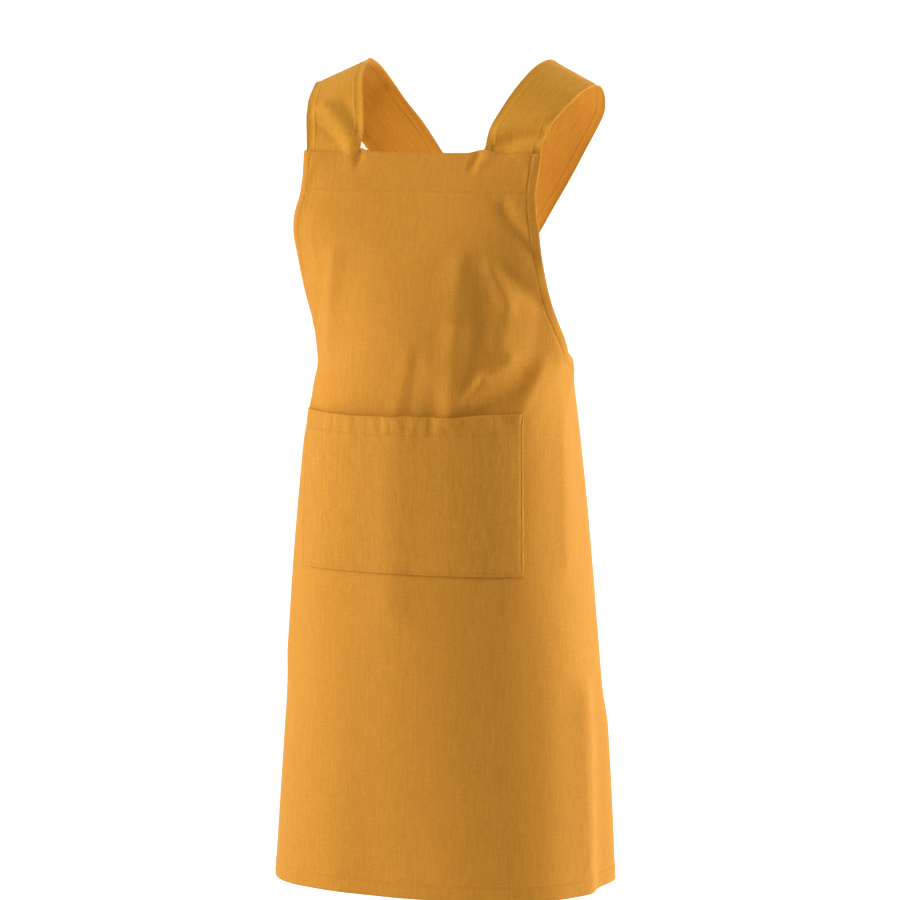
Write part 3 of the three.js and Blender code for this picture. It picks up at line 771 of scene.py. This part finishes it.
# %% Strap lines
STRAP_SEW_DEPTH = 0.0045
STRAP_ROOM = 0.0004
STRAP_OVERLAP = 0.0028
CROSSING_SPAN = 0.45
STRAP_FRONT = table("rise out back slope sweep", [
    (0.26, 0.04, 0.1, 0.42, -7),
    (0.56, 0.34, 0.29, 0.83, -12),
    (0.78, 0.62, 0.51, 0.96, -11),
    (0.95, 0.82, 0.77, 1.04, -12),
    (1.015, 1, 1, 1.05, -12),
])
STRAP_CREST = {"down": 0.024, "back": 0.35, "slope": 1.07, "sweep": -14}
STRAP_BACK = table("down inward depth slope", [
    (0.12, 0.042, 1.05, 1.13),
    (0.21, 0.133, 1.13, 1.25),
    (0.332, 0.273, 1.14, 1.34),
    (0.513, 0.469, 1.11, 1.38),
    (0.744, 0.72, 1.06, 1.38),
    (1, 1, 1.0, 1.38),
    (1.26, 1.28, 0.88, 1.38),
    (1.36, 1.39, 0.81, 1.38),
])


def tilted(slope, sweep):
    """Which way a strap's width runs, tilted outward and down and swept back."""
    tilt, turn = math.radians(slope * SHOULDER_SLOPE), math.radians(sweep)
    return np.array([math.cos(tilt) * math.cos(turn), math.sin(turn), -math.sin(tilt) * math.cos(turn)])


def sewn_point(across, z):
    """Where a sewn end lies behind the panel: it follows the folds, but keeps the form's facing."""
    across, z = np.array(across, dtype=float), np.array(z + float(strap_pull(across, z)))
    depth = STRAP_SEW_DEPTH - cloth_rise(across, z)
    return form_point(across, z) - facing(form_point, across, z, FORM_STEP) * depth


def strap_line(width, raised):
    """Points along the left strap, from -1 at its inner edge to 1 at its outer edge."""
    half = STRAP_WIDTH / 2 - STRAP_ROOM
    middle = BIB_HALF_WIDTH - STRAP_WIDTH / 2
    start = sewn_point(middle, -BIB_TOP_DROP)
    line = []
    for down in (STRAP_SEWN, STRAP_SEWN / 2, 0):
        line.append(sewn_point(middle + half * width, -BIB_TOP_DROP - down))
    shoulder = SHOULDER_SPACING / 2
    for rise, out, back, slope, sweep in zip(*STRAP_FRONT.values()):
        centre = np.array([mix(start[0], shoulder, out), mix(start[1], 0, back), mix(start[2], 0, rise)])
        line.append(centre + tilted(slope, sweep) * half * width)
    crest_depth, crest_drop = STRAP_BACK_DEPTH * STRAP_CREST["back"], CROSSING_DROP * STRAP_CREST["down"]
    crest = np.array([shoulder, crest_depth, -crest_drop])
    line.append(crest + tilted(STRAP_CREST["slope"], STRAP_CREST["sweep"]) * half * width)
    for down, inward, depth, slope in zip(*STRAP_BACK.values()):
        point = np.array([shoulder * (1 - inward), 0, -CROSSING_DROP * down])
        point = point + tilted(slope, 0) * half * width
        share = smoothed(STRAP_BACK["down"], STRAP_BACK["depth"], np.array(-point[2] / CROSSING_DROP))
        over = raised * math.exp(-(((down - 1) / CROSSING_SPAN) ** 4))
        point[1] = STRAP_BACK_DEPTH * share - point[0] ** 2 / (2 * STRAP_BACK_RADIUS) + over
        line.append(point)
    reach = BACK_REACH - STRAP_WIDTH / 2 + half * width
    corner = float(flank_top(np.array(reach)))
    for down in (-STRAP_SEWN / 3, STRAP_SEWN / 4, STRAP_SEWN):
        line.append(sewn_point(-reach, corner - down))
    return np.array(line)


def smooth_curve(points, shares):
    """Centripetal Catmull-Rom through the points, at shares from 0 to 1 of the way along."""
    first, last = 2 * points[0] - points[1], 2 * points[-1] - points[-2]
    padded = np.vstack([first, points, last])
    spans = len(points) - 1
    at = np.minimum((shares * spans).astype(int), spans - 1)
    t = (shares * spans - at)[:, None]
    p0, p1, p2, p3 = (padded[at + index] for index in range(4))
    pairs = ((p0, p1), (p1, p2), (p2, p3))
    d0, d1, d2 = (np.linalg.norm(b - a, axis=1, keepdims=True) ** 0.5 for a, b in pairs)
    leave = ((p1 - p0) / d0 - (p2 - p0) / (d0 + d1) + (p2 - p1) / d1) * d1
    arrive = ((p2 - p1) / d1 - (p3 - p1) / (d1 + d2) + (p3 - p2) / d2) * d1
    square, cube = t * t, t * t * t
    return (2 * cube - 3 * square + 1) * p1 + (cube - 2 * square + t) * leave \
        + (3 * square - 2 * cube) * p2 + (cube - square) * arrive


# %% [markdown]
# The strap's creases are laid on its own flat pattern, which runs along its length and across its
# width. The sharpest are at the foot, where the strap leans outward from the bib and the cloth buckles
# in a slanting fold, so the rows of the grid lie closer together there. The two long edges are hemmed,
# so they stand a little proud with a pressed line.

# %% Straps
STRAP_STEP = 0.0034
STRAP_STITCH = 0.0105
STRAP_FOOT_ROWS = 10
STRAP_FOOT_RUN = (-0.002, 0.009)
STRAP_SAMPLES = 190
STRAP_LINES = 9
STRAP_CREASES = {
    "left": table("across down to_across to_down wide rise", [
        (-0.024, -0.011, 0.032, -0.040, 0.0080, 0.0052),
        (0.006, -0.005, 0.034, -0.018, 0.0080, -0.0022),
        (-0.022, -0.032, 0.026, -0.060, 0.0100, -0.0036),
        (0.020, -0.056, 0.034, -0.064, 0.0060, 0.0012),
        (-0.020, -0.080, 0.020, -0.100, 0.0100, 0.0008),
    ]),
    "right": table("across down to_across to_down wide rise", [
        (0.012, -0.070, -0.022, -0.010, 0.0090, -0.0034),
        (0.022, -0.046, -0.012, -0.008, 0.0036, 0.0010),
        (-0.012, -0.074, -0.028, -0.024, 0.0060, 0.0014),
        (0.014, -0.004, 0.032, -0.012, 0.0070, 0.0014),
        (0.030, -0.080, 0.012, -0.095, 0.0080, 0.0010),
    ]),
}
STRAP_SINK = {"left": 0.0036, "right": 0.0026}
SINK_AT = 0.0006
SINK_WIDE = 0.0030
STRAP_GROOVE = 0.00055
STRAP_PUCKER = 0.00022
STRAP_ROLL = 0.0010
STRAP_ROLL_WIDE = 0.0030
STRAP_WAVE = 0.0006


def strap_relief(word, along, across):
    """How far the strap's outer face rises above its even surface."""
    edge = STRAP_WIDTH / 2 - np.abs(across)
    step = hem_step(edge, SIDE_HEM, 0.00015, 0.0005, 0.0010)
    groove = STRAP_GROOVE * ridge(edge, STRAP_STITCH, 0.0011)
    pucker = STRAP_PUCKER * ripple(along, 0.0027, 1.5, 0.021) * ridge(edge, STRAP_STITCH, 0.006)
    roll = STRAP_ROLL * np.clip(1 - edge / STRAP_ROLL_WIDE, 0, 1) ** 2
    slow = STRAP_WAVE * np.sin(along / 0.019 + across / 0.030) * np.clip(along / 0.05, 0, 1)
    sink = STRAP_SINK[word] * ridge(along, SINK_AT, SINK_WIDE)
    return step - groove + pucker - roll - sink + slow + lift(STRAP_CREASES[word], across, along)


def resampled(keys, known, points):
    """Points along a line, read again at other places along it."""
    return np.stack([np.interp(keys, known, values) for values in points.T], -1)


def strap_surface(raised, columns):
    """Middle points, facings and lengths along the left strap, as arrays of rows and columns."""
    shares = np.linspace(0, 1, STRAP_SAMPLES)
    widths = np.linspace(-1, 1, STRAP_LINES)
    lines = np.stack([smooth_curve(strap_line(width, raised), shares) for width in widths], 1)
    spine = lines[:, STRAP_LINES // 2]
    length = np.concatenate(([0], np.cumsum(np.linalg.norm(np.diff(spine, axis=0), axis=1))))
    stations = np.linspace(0, length[-1], math.ceil(length[-1] / STRAP_STEP))
    foot = STRAP_SEWN + np.linspace(*STRAP_FOOT_RUN, STRAP_FOOT_ROWS)
    apart = (stations < foot[0] - 0.001) | (stations > foot[-1] + 0.001)
    stations = np.sort(np.concatenate((stations[apart], foot)))
    even = np.stack([resampled(stations, length, lines[:, line]) for line in range(STRAP_LINES)], 1)
    places = np.array(columns) / (STRAP_WIDTH / 2)
    surface = np.array([resampled(places, widths, row) for row in even])
    along = np.gradient(surface, axis=0)
    across = np.gradient(surface, axis=1)
    normal = np.cross(along, across)
    normal /= np.linalg.norm(normal, axis=-1, keepdims=True)
    return surface, normal, stations


strap_edges = [0.0, 0.0012, 0.0026, 0.006, 0.0092, 0.0099, 0.0105, 0.0111, 0.0118, 0.0125, 0.0135]
strap_half = filled(strap_edges + [STRAP_WIDTH / 2], 0.0042)
strap_columns = [-STRAP_WIDTH / 2 + away for away in strap_half]
strap_columns += [STRAP_WIDTH / 2 - away for away in reversed(strap_half[:-1])]


def make_strap(word, side, raised):
    """One strap, with the points, facings and length that its stitches need."""
    surface, normal, stations = strap_surface(raised, strap_columns)
    along = stations - STRAP_SEWN
    grid_along = np.repeat(along[:, None], len(strap_columns), 1)
    grid_across = np.repeat(np.array(strap_columns)[None, :], len(along), 0)
    relief = strap_relief(word, grid_along, grid_across)
    spots = (surface + normal * relief[..., None]) * np.array([side, 1, 1])
    order = list(range(len(strap_columns)))[::side]
    lookup = {}

    def pattern(row, column):
        row = len(along) - 1 - row
        flat = (strap_columns[order[column]], along[row])
        lookup[flat] = spots[row, order[column]]
        return flat

    piece = laid_grid(
        f"strap_cloth_{word}", len(along) - 1, len(strap_columns) - 1, pattern,
        lambda flat: np.array([lookup[tuple(spot)] for spot in flat]), STRAP_CLOTH,
    )
    piece.modifiers["wall"].use_even_offset = False
    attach(piece, "root")
    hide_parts(f"strap_{word}")
    outward = normal * np.array([side, 1, 1])
    return piece, spots, outward, float(stations[-1])


strap_left, left_spots, left_outward, strap_length = make_strap("left", 1, STRAP_OVERLAP)
strap_right, right_spots, right_outward, strap_length = make_strap("right", -1, 0.0)
print("each strap is", round(strap_length, 3), "m long with its sewn ends")

# %% [markdown]
# The stitches are real thread: each is a small spindle that lies half in the cloth. They follow lines
# on the pattern at the distance where the groove was pressed. Modelling them costs little, because a
# spindle has few faces, and it gives each seam the dotted look that a painted line hasn't got. Stitches
# are gathered in small batches, because adding each one to a large mesh would be slow.

# %% Stitches
STITCH_LENGTH = 0.0031
STITCH_PITCH = 0.0041
THREAD_RADIUS = 0.00036
THREAD_PROUD = 0.35
BATCH = 40

SEAM_SHORT = 0.003
SEAM_START = 0.004
STRAP_SEAM = 0.0035


def stitch_rows(name, rows):
    """All stitches of some rows as one piece. A row is its points and the way the cloth faces there."""
    bm = bmesh.new()
    strip = bmesh.new()
    few = bpy.data.meshes.new("few_stitches")
    count = 0
    for points, outward in rows:
        gaps = np.linalg.norm(np.diff(points, axis=0), axis=1)
        length = np.concatenate(([0], np.cumsum(gaps)))
        for start in np.arange(STITCH_PITCH / 2, length[-1] - STITCH_LENGTH, STITCH_PITCH):
            ends = resampled((start, start + STITCH_LENGTH), length, points)
            up = Vector(resampled(start, length, outward)).normalized()
            run = Vector(ends[1] - ends[0])
            across = up.cross(run).normalized()
            up = run.cross(across).normalized()
            middle = Vector((ends[0] + ends[1]) / 2) + up * THREAD_RADIUS * THREAD_PROUD
            turn = Matrix((across, up, run.normalized())).transposed().to_4x4()
            size = Matrix.Diagonal((THREAD_RADIUS, THREAD_RADIUS, STITCH_LENGTH / 2, 1))
            matrix = Matrix.Translation(middle) @ turn @ size
            bmesh.ops.create_uvsphere(strip, u_segments=5, v_segments=4, radius=1, matrix=matrix)
            count += 1
            if count % BATCH == 0:
                strip.to_mesh(few)
                strip.clear()
                bm.from_mesh(few)
    strip.to_mesh(few)
    strip.free()
    bm.from_mesh(few)
    bpy.data.meshes.remove(few)
    for face in bm.faces:
        face.smooth = True
    piece = cloth_object(name, bm, 0)
    print(name, count, "stitches")
    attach(piece, "root")
    return piece


def panel_row(flat):
    """A stitch row on the body panel, from points of the pattern."""
    flat = np.array(flat, dtype=float)
    outward = facing(cloth_point, flat[:, 0], flat[:, 1], CLOTH_STEP)
    return layer_point(flat, panel_depth(flat) - CLOTH / 2), outward


def level_points(start, end, height, count):
    """Points of a level row, at one height of a pattern."""
    return [(across, height) for across in np.linspace(start, end, count)]


def inset_line(line, away):
    """A line moved inward from a pattern line."""
    runs = np.gradient(line, axis=0)
    runs /= np.linalg.norm(runs, axis=1, keepdims=True)
    return line + np.stack([runs[:, 1], -runs[:, 0]], -1) * away


side_stitches = inset_line(whole_side[:-2], SIDE_STITCH)
side_stitches = side_stitches[side_stitches[:, 1] < -BIB_TOP_DROP - SEAM_START]
back_stitches = inset_line(back_line, SIDE_STITCH)
body_rows = []
for side in (1, -1):
    body_rows.append(panel_row(side_stitches * (side, 1)))
    body_rows.append(panel_row(back_stitches * (side, 1)))
top, foot = BIB_HALF_WIDTH - SEAM_SHORT, HEM_REACH - SEAM_START
body_rows.append(panel_row(level_points(-top, top, -BIB_TOP_DROP - TOP_STITCH, 90)))
body_rows.append(panel_row(level_points(-foot, foot, -APRON_DROP + BOTTOM_STITCH, 260)))
for side in (1, -1):
    inner = side * (BIB_HALF_WIDTH - STRAP_WIDTH)
    body_rows.append(panel_row(level_points(inner, side * top, -BIB_TOP_DROP - STRAP_SEAM, 30)))
body_stitches = stitch_rows("stitches_body", body_rows)


def pocket_row(points):
    """A stitch row on the pocket, from distances across and down."""
    points = np.array(points, dtype=float)
    spots = pocket_spot(points * (1, -1))
    lifted = -pocket_lift(points[:, 0], points[:, 1]) - CLOTH / 2
    return layer_point(spots, lifted), facing(cloth_point, spots[:, 0], spots[:, 1], CLOTH_STEP)


reach, foot = POCKET_HALF - POCKET_STITCH, POCKET_HEIGHT - POCKET_STITCH
edge = POCKET_HALF - SEAM_SHORT
pocket_seams = []
for side in (1, -1):
    pocket_seams.append(pocket_row([(side * reach, down) for down in np.linspace(0.002, foot, 60)]))
for level in (foot, POCKET_HEM_STITCH):
    pocket_seams.append(pocket_row(level_points(-edge, edge, level, 90)))
pocket_stitches = stitch_rows("stitches_pocket", pocket_seams)


def strap_rows(spots, outward):
    """The stitch rows along both edges of a strap, from its foot to its far end."""
    first = math.ceil(STRAP_SEWN / STRAP_STEP) + STRAP_FOOT_ROWS // 2
    rows = []
    for away in (-STRAP_WIDTH / 2 + STRAP_STITCH, STRAP_WIDTH / 2 - STRAP_STITCH):
        column = int(np.argmin(np.abs(np.array(strap_columns) - away)))
        line, up = spots[first:, column], outward[first:, column]
        rows.append((line + up * STRAP_CLOTH / 2, up))
    return rows


strap_stitches = stitch_rows(
    "stitches_straps", strap_rows(left_spots, left_outward) + strap_rows(right_spots, right_outward)
)

# %% [markdown]
# Canvas gets its look from its yarns. Two sets of them cross, each yarn a little thicker or thinner
# along its length, so the cloth shows fine upright and level streaks rather than a flat colour. The
# finish reads the flat pattern in metres, so the weave follows the cloth round every fold. One small
# class lets the maths of a shader be written as plain sums, and a second one adds the nodes.

# %% Shader sums


class Value:
    """A socket of a shader that can be used in sums and products."""

    def __init__(self, finish, socket):
        self.finish = finish
        self.socket = socket

    def sum(self, operation, first, second=0.0):
        node = self.finish.node("ShaderNodeMath", {"operation": operation}, {0: first, 1: second})
        return Value(self.finish, node.outputs[0])

    def __add__(self, other):
        return self.sum("ADD", self, other)

    def __radd__(self, other):
        return self.sum("ADD", other, self)

    def __sub__(self, other):
        return self.sum("SUBTRACT", self, other)

    def __rsub__(self, other):
        return self.sum("SUBTRACT", other, self)

    def __mul__(self, other):
        return self.sum("MULTIPLY", self, other)

    def __rmul__(self, other):
        return self.sum("MULTIPLY", other, self)

    def sine(self):
        return self.sum("SINE", self)

    def size(self):
        return self.sum("ABSOLUTE", self)

    def above(self, limit):
        return self.sum("GREATER_THAN", self, limit)


class Finish:
    """The nodes of a material or of the world, added one by one to its shader."""

    def __init__(self, owner, shader="Principled BSDF"):
        owner.use_nodes = True
        self.owner = owner
        self.tree = owner.node_tree
        self.shader = self.tree.nodes[shader]

    def node(self, kind, settings=None, values=None):
        """A node of a kind, with its settings first and then the values or links of its sockets."""
        made = self.tree.nodes.new(kind)
        for key, value in (settings or {}).items():
            setattr(made, key, value)
        for key, value in (values or {}).items():
            self.set(made.inputs[key], value)
        return made

    def set(self, socket, value):
        """Gives a socket a value, or links another socket to it."""
        if isinstance(value, Value):
            self.tree.links.new(value.socket, socket)
        elif isinstance(value, bpy.types.NodeSocket):
            self.tree.links.new(value, socket)
        else:
            socket.default_value = value

    def value(self, kind, settings=None, values=None, output=0):
        """A new node's output, ready for sums."""
        return Value(self, self.node(kind, settings, values).outputs[output])

    def two_tones(self, share, deep, pale):
        """The base colour, between a deep and a pale tone."""
        tones = {"Factor": share, 6: (*deep, 1), 7: (*pale, 1)}
        colour = self.node("ShaderNodeMix", {"data_type": "RGBA"}, tones)
        self.set(self.shader.inputs["Base Color"], colour.outputs[2])

    def raised(self, height, strength):
        """Relief from a height in metres."""
        values = {"Strength": strength, "Distance": 1.0, "Height": height}
        self.set(self.shader.inputs["Normal"], self.node("ShaderNodeBump", None, values).outputs[0])


# %% [markdown]
# The canvas finish adds up four things: the weave itself at half a millimetre, streaks of thick and
# thin yarn along both directions, small knots in the yarn, and a slow unevenness of the dye. All of
# them tint the colour and raise the surface. The weave's tint is painted shade: the colour is darker
# where its yarns lie low, between them. Each kind of streak has a scale across, a scale down and a
# number of octaves. A little sheen stands for the nap of the cotton.

# %% Canvas finish
WARP_PITCH = 0.00062
WEFT_PITCH = 0.00074
UPRIGHT = (640.0, 70.0, 2.0)
LEVEL = (80.0, 640.0, 2.0)
RIBBED = (310.0, 26.0, 1.0)
KNOTS = (600.0, 420.0, 2.0)
DYE_SCALE = 9.0
TONE = {"upright": 0.55, "level": 0.40, "ribbed": 0.42, "knots": 0.85, "dye": 0.16, "weave": 0.16}
RELIEF = {"weave": 0.00012, "upright": 0.00016, "level": 0.00010, "knots": 0.00016}


def canvas(name, deep, pale, ribs=1.0):
    """A plain woven cotton in one colour, between a deep and a pale tone."""
    finish = Finish(bpy.data.materials.new(name))
    flat = finish.node("ShaderNodeUVMap", {"uv_map": "flat"}).outputs[0]
    parts = finish.node("ShaderNodeSeparateXYZ", None, {0: flat})
    across, down = Value(finish, parts.outputs[0]), Value(finish, parts.outputs[1])

    def streaks(across_scale, down_scale, detail):
        """Uneven yarn, around zero."""
        at = finish.node("ShaderNodeCombineXYZ", None, {0: across * across_scale, 1: down * down_scale})
        settings = {"noise_dimensions": "2D"}
        values = {"Vector": at.outputs[0], "Scale": 1.0, "Detail": detail, "Roughness": 0.6}
        return finish.value("ShaderNodeTexNoise", settings, values) - 0.5

    upright, level, ribbed, knots = streaks(*UPRIGHT), streaks(*LEVEL), streaks(*RIBBED), streaks(*KNOTS)
    place = finish.node("ShaderNodeTexCoord").outputs["Object"]
    patches = {"Vector": place, "Scale": DYE_SCALE, "Detail": 3.0}
    dye = finish.value("ShaderNodeTexNoise", None, patches) - 0.5

    bend = upright * 0.25
    warp = (across * (math.pi / WARP_PITCH) + bend).sine()
    weft = (down * (math.pi / WEFT_PITCH)).sine()
    over = (warp * weft).above(0.0)
    weave = over * warp.size() + (1.0 - over) * weft.size()

    tone = 0.5 + upright * (TONE["upright"] * ribs) + level * TONE["level"]
    tone = tone + ribbed * (TONE["ribbed"] * ribs) + knots * TONE["knots"]
    # painted shade: the weave term darkens the colour where the yarns lie low, between them
    tone = tone + dye * TONE["dye"] + (weave - 0.6) * TONE["weave"]
    height = weave * RELIEF["weave"] + upright * (RELIEF["upright"] * ribs)
    height = height + level * RELIEF["level"] + knots * RELIEF["knots"]
    finish.two_tones(tone, deep, pale)
    finish.raised(height, 0.55)
    finish.set(finish.shader.inputs["Roughness"], 0.84 + knots * 0.12 + dye * 0.08)
    finish.shader.inputs["Sheen Weight"].default_value = 0.16
    finish.shader.inputs["Sheen Roughness"].default_value = 0.45
    finish.shader.inputs["Sheen Tint"].default_value = (1.0, 0.82, 0.36, 1)
    finish.shader.inputs["Specular IOR Level"].default_value = 0.30
    finish.shader.inputs["IOR"].default_value = 1.45
    return finish.owner


def thread(name, deep, pale):
    """Twisted sewing thread in the colour of the cloth."""
    finish = Finish(bpy.data.materials.new(name))
    place = finish.node("ShaderNodeTexCoord").outputs["Object"]
    turn = finish.value("ShaderNodeTexNoise", None, {"Vector": place, "Scale": 900.0, "Detail": 2.0})
    finish.two_tones(turn, deep, pale)
    finish.raised(turn * 0.0001, 0.4)
    finish.set(finish.shader.inputs["Roughness"], 0.55 + turn * 0.2)
    return finish.owner


body_canvas = canvas("canvas", (0.505, 0.196, 0.013), (0.715, 0.312, 0.032))
hem_canvas = canvas("canvas_hem", (0.495, 0.190, 0.013), (0.700, 0.304, 0.031))
pocket_canvas = canvas("canvas_pocket", (0.490, 0.192, 0.013), (0.710, 0.312, 0.032), 1.35)
strap_canvas = canvas("canvas_strap", (0.540, 0.225, 0.014), (0.760, 0.350, 0.032))
sewing_thread = thread("sewing_thread", (0.44, 0.155, 0.010), (0.74, 0.320, 0.035))

for material, pieces in (
    (body_canvas, [body]),
    (hem_canvas, hems.values()),
    (pocket_canvas, [pocket, pocket_hem]),
    (strap_canvas, [strap_left, strap_right]),
    (sewing_thread, [body_stitches, pocket_stitches, strap_stitches]),
):
    for piece in pieces:
        piece.data.materials.append(material)
print("finishes:", [material.name for material in bpy.data.materials])

# %% [markdown]
# The size that the cloth was cut to is worked out: the bib's area from its width at each height, and
# the skirt's top edge at each reach round it. The hems are strips of their own, and the straps are long
# bands.

bib_heights = np.linspace(-BIB_TOP_DROP, -ARMHOLE_DROP, 200)
bib_area = float(np.mean(2 * armhole_reach(bib_heights))) * (ARMHOLE_DROP - BIB_TOP_DROP)
skirt_reaches = np.linspace(0, BACK_REACH, 400)
skirt_tops = np.where(skirt_reaches > SIDE_REACH, flank_top(skirt_reaches), -ARMHOLE_DROP)

# %% [markdown]
# The apron is shown in a plain studio: a pale floor that curves up into a pale wall, so that nothing
# but the cloth has an edge. The profile of the floor and wall is drawn once and extruded sideways. The
# paper glows a little, more towards the back, so that the picture's ground stays even. Its back is
# clear, and the apron can be looked at from behind the wall too.

# %% Floor and wall
FLOOR_HEIGHT = -1.42
WALL_AWAY = 3.2
WALL_HEIGHT = 4.0
SWEEP_RADIUS = 1.4
STAGE_HALF = 5.0
STAGE_FRONT = -9.0
GLOW = 0.52
GLOW_LEAST = 0.12
GLOW_START = 0.6
GLOW_FULL = 2.0

bm = bmesh.new()
profile = [(STAGE_FRONT, FLOOR_HEIGHT), (WALL_AWAY - SWEEP_RADIUS, FLOOR_HEIGHT)]
for turn in range(6, 91, 6):
    angle = math.radians(turn)
    away = WALL_AWAY - SWEEP_RADIUS + SWEEP_RADIUS * math.sin(angle)
    profile.append((away, FLOOR_HEIGHT + SWEEP_RADIUS * (1 - math.cos(angle))))
profile.append((WALL_AWAY, WALL_HEIGHT))
corners = [bm.verts.new((-STAGE_HALF, away, height)) for away, height in profile]
edges = [bm.edges.new(pair) for pair in zip(corners[:-1], corners[1:])]
pulled = bmesh.ops.extrude_edge_only(bm, edges=edges)["geom"]
moved = [item for item in pulled if isinstance(item, bmesh.types.BMVert)]
bmesh.ops.translate(bm, verts=moved, vec=(2 * STAGE_HALF, 0, 0))
bmesh.ops.recalc_face_normals(bm, faces=bm.faces)
bm.faces.ensure_lookup_table()
if bm.faces[0].normal.z < 0:
    bmesh.ops.reverse_faces(bm, faces=bm.faces)
for face in bm.faces:
    face.smooth = True
stage = cloth_object("studio_floor", bm, 0)
paper = Finish(bpy.data.materials.new("studio_paper"))
paper.shader.inputs["Base Color"].default_value = (0.93, 0.93, 0.93, 1)
paper.shader.inputs["Roughness"].default_value = 0.9
place = paper.node("ShaderNodeTexCoord").outputs["Object"]
ground = paper.node("ShaderNodeSeparateXYZ", None, {0: place})
fade = {0: ground.outputs[1], 1: GLOW_START, 2: GLOW_FULL, 3: GLOW_LEAST, 4: 1.0}
behind = paper.node("ShaderNodeMapRange", None, fade)
paper.set(paper.shader.inputs["Emission Color"], behind.outputs[0])
paper.set(paper.shader.inputs["Alpha"], 1 - paper.value("ShaderNodeNewGeometry", output="Backfacing"))
paper.shader.inputs["Emission Strength"].default_value = GLOW
stage.data.materials.append(paper.owner)

# %% [markdown]
# The light comes from four soft boxes: one in front at the left, two at the right and behind it, and
# one above. So the turned sides of the cloth are bright and the front that faces the camera is calmer.
# The sky lights the cloth only a little, but the camera sees it nearly white. The camera stands well
# back with a long lens, which keeps the upright edges nearly parallel, and a little above the middle.

# %% Lights and camera
SKY_LIGHT = 0.04
SKY_SEEN = 0.92
AIM = Vector((0, -0.035, -0.45))

sky = Finish(bpy.data.worlds.new("studio_light"), "Background")
seen = sky.node("ShaderNodeLightPath").outputs["Is Camera Ray"]
shade = sky.node("ShaderNodeMapRange", None, {"Value": seen, "To Min": SKY_LIGHT, "To Max": SKY_SEEN})
sky.set(sky.shader.inputs["Strength"], shade.outputs[0])
sky.shader.inputs["Color"].default_value = (1, 1, 1, 1)
bpy.context.scene.world = sky.owner


def soft_box(name, azimuth, height, away, size, power, colour):
    """A soft light that looks at the apron from an azimuth in degrees, 0 being the front."""
    turn = math.radians(azimuth)
    light = bpy.data.lights.new(name, "AREA")
    light.shape = "RECTANGLE"
    light.size, light.size_y = size
    light.energy = power
    light.color = colour
    lamp = bpy.data.objects.new(name, light)
    lamp.location = (math.sin(turn) * away, -math.cos(turn) * away, height)
    lamp.rotation_euler = (AIM - Vector(lamp.location)).to_track_quat("-Z", "Y").to_euler()
    bpy.context.scene.collection.objects.link(lamp)


for name, turn, power in (("left_box", -60, 74), ("right_box", 100, 42), ("back_box", 125, 40)):
    soft_box(name, turn, 0.2, 2.5, (1.3, 2.2), power, (1.0, 1.0, 0.97))
soft_box("top_box", 10, 2.6, 1.8, (1.6, 1.2), 40, (1.0, 0.96, 0.88))

CAMERA_AZIMUTH = 22
CAMERA_ELEVATION = 5.3
CAMERA_AWAY = 6.5
CAMERA_FAR = 60
CAMERA_TARGET = Vector((0, -0.035, -0.437))
CAMERA_SHIFT = 0.00465
SENSOR = 36.0
FOCAL_PIXELS = 5590
FRAME_PIXELS = 900

azimuth, elevation = math.radians(CAMERA_AZIMUTH), math.radians(CAMERA_ELEVATION)
level = math.cos(elevation)
away = Vector((math.sin(azimuth) * level, -math.cos(azimuth) * level, math.sin(elevation)))
target = CAMERA_TARGET + CAMERA_SHIFT * Vector((math.cos(azimuth), math.sin(azimuth), 0))
lens = bpy.data.cameras.new("camera")
lens.sensor_width = SENSOR
lens.lens = SENSOR * FOCAL_PIXELS / FRAME_PIXELS
lens.clip_end = CAMERA_FAR
camera = bpy.data.objects.new("camera", lens)
camera.location = target + away * CAMERA_AWAY
camera.rotation_euler = (-away).to_track_quat("-Z", "Y").to_euler()
bpy.context.scene.collection.objects.link(camera)
bpy.context.scene.camera = camera
bpy.context.scene.view_settings.view_transform = "Standard"
print("lens", round(lens.lens, 1), "mm")
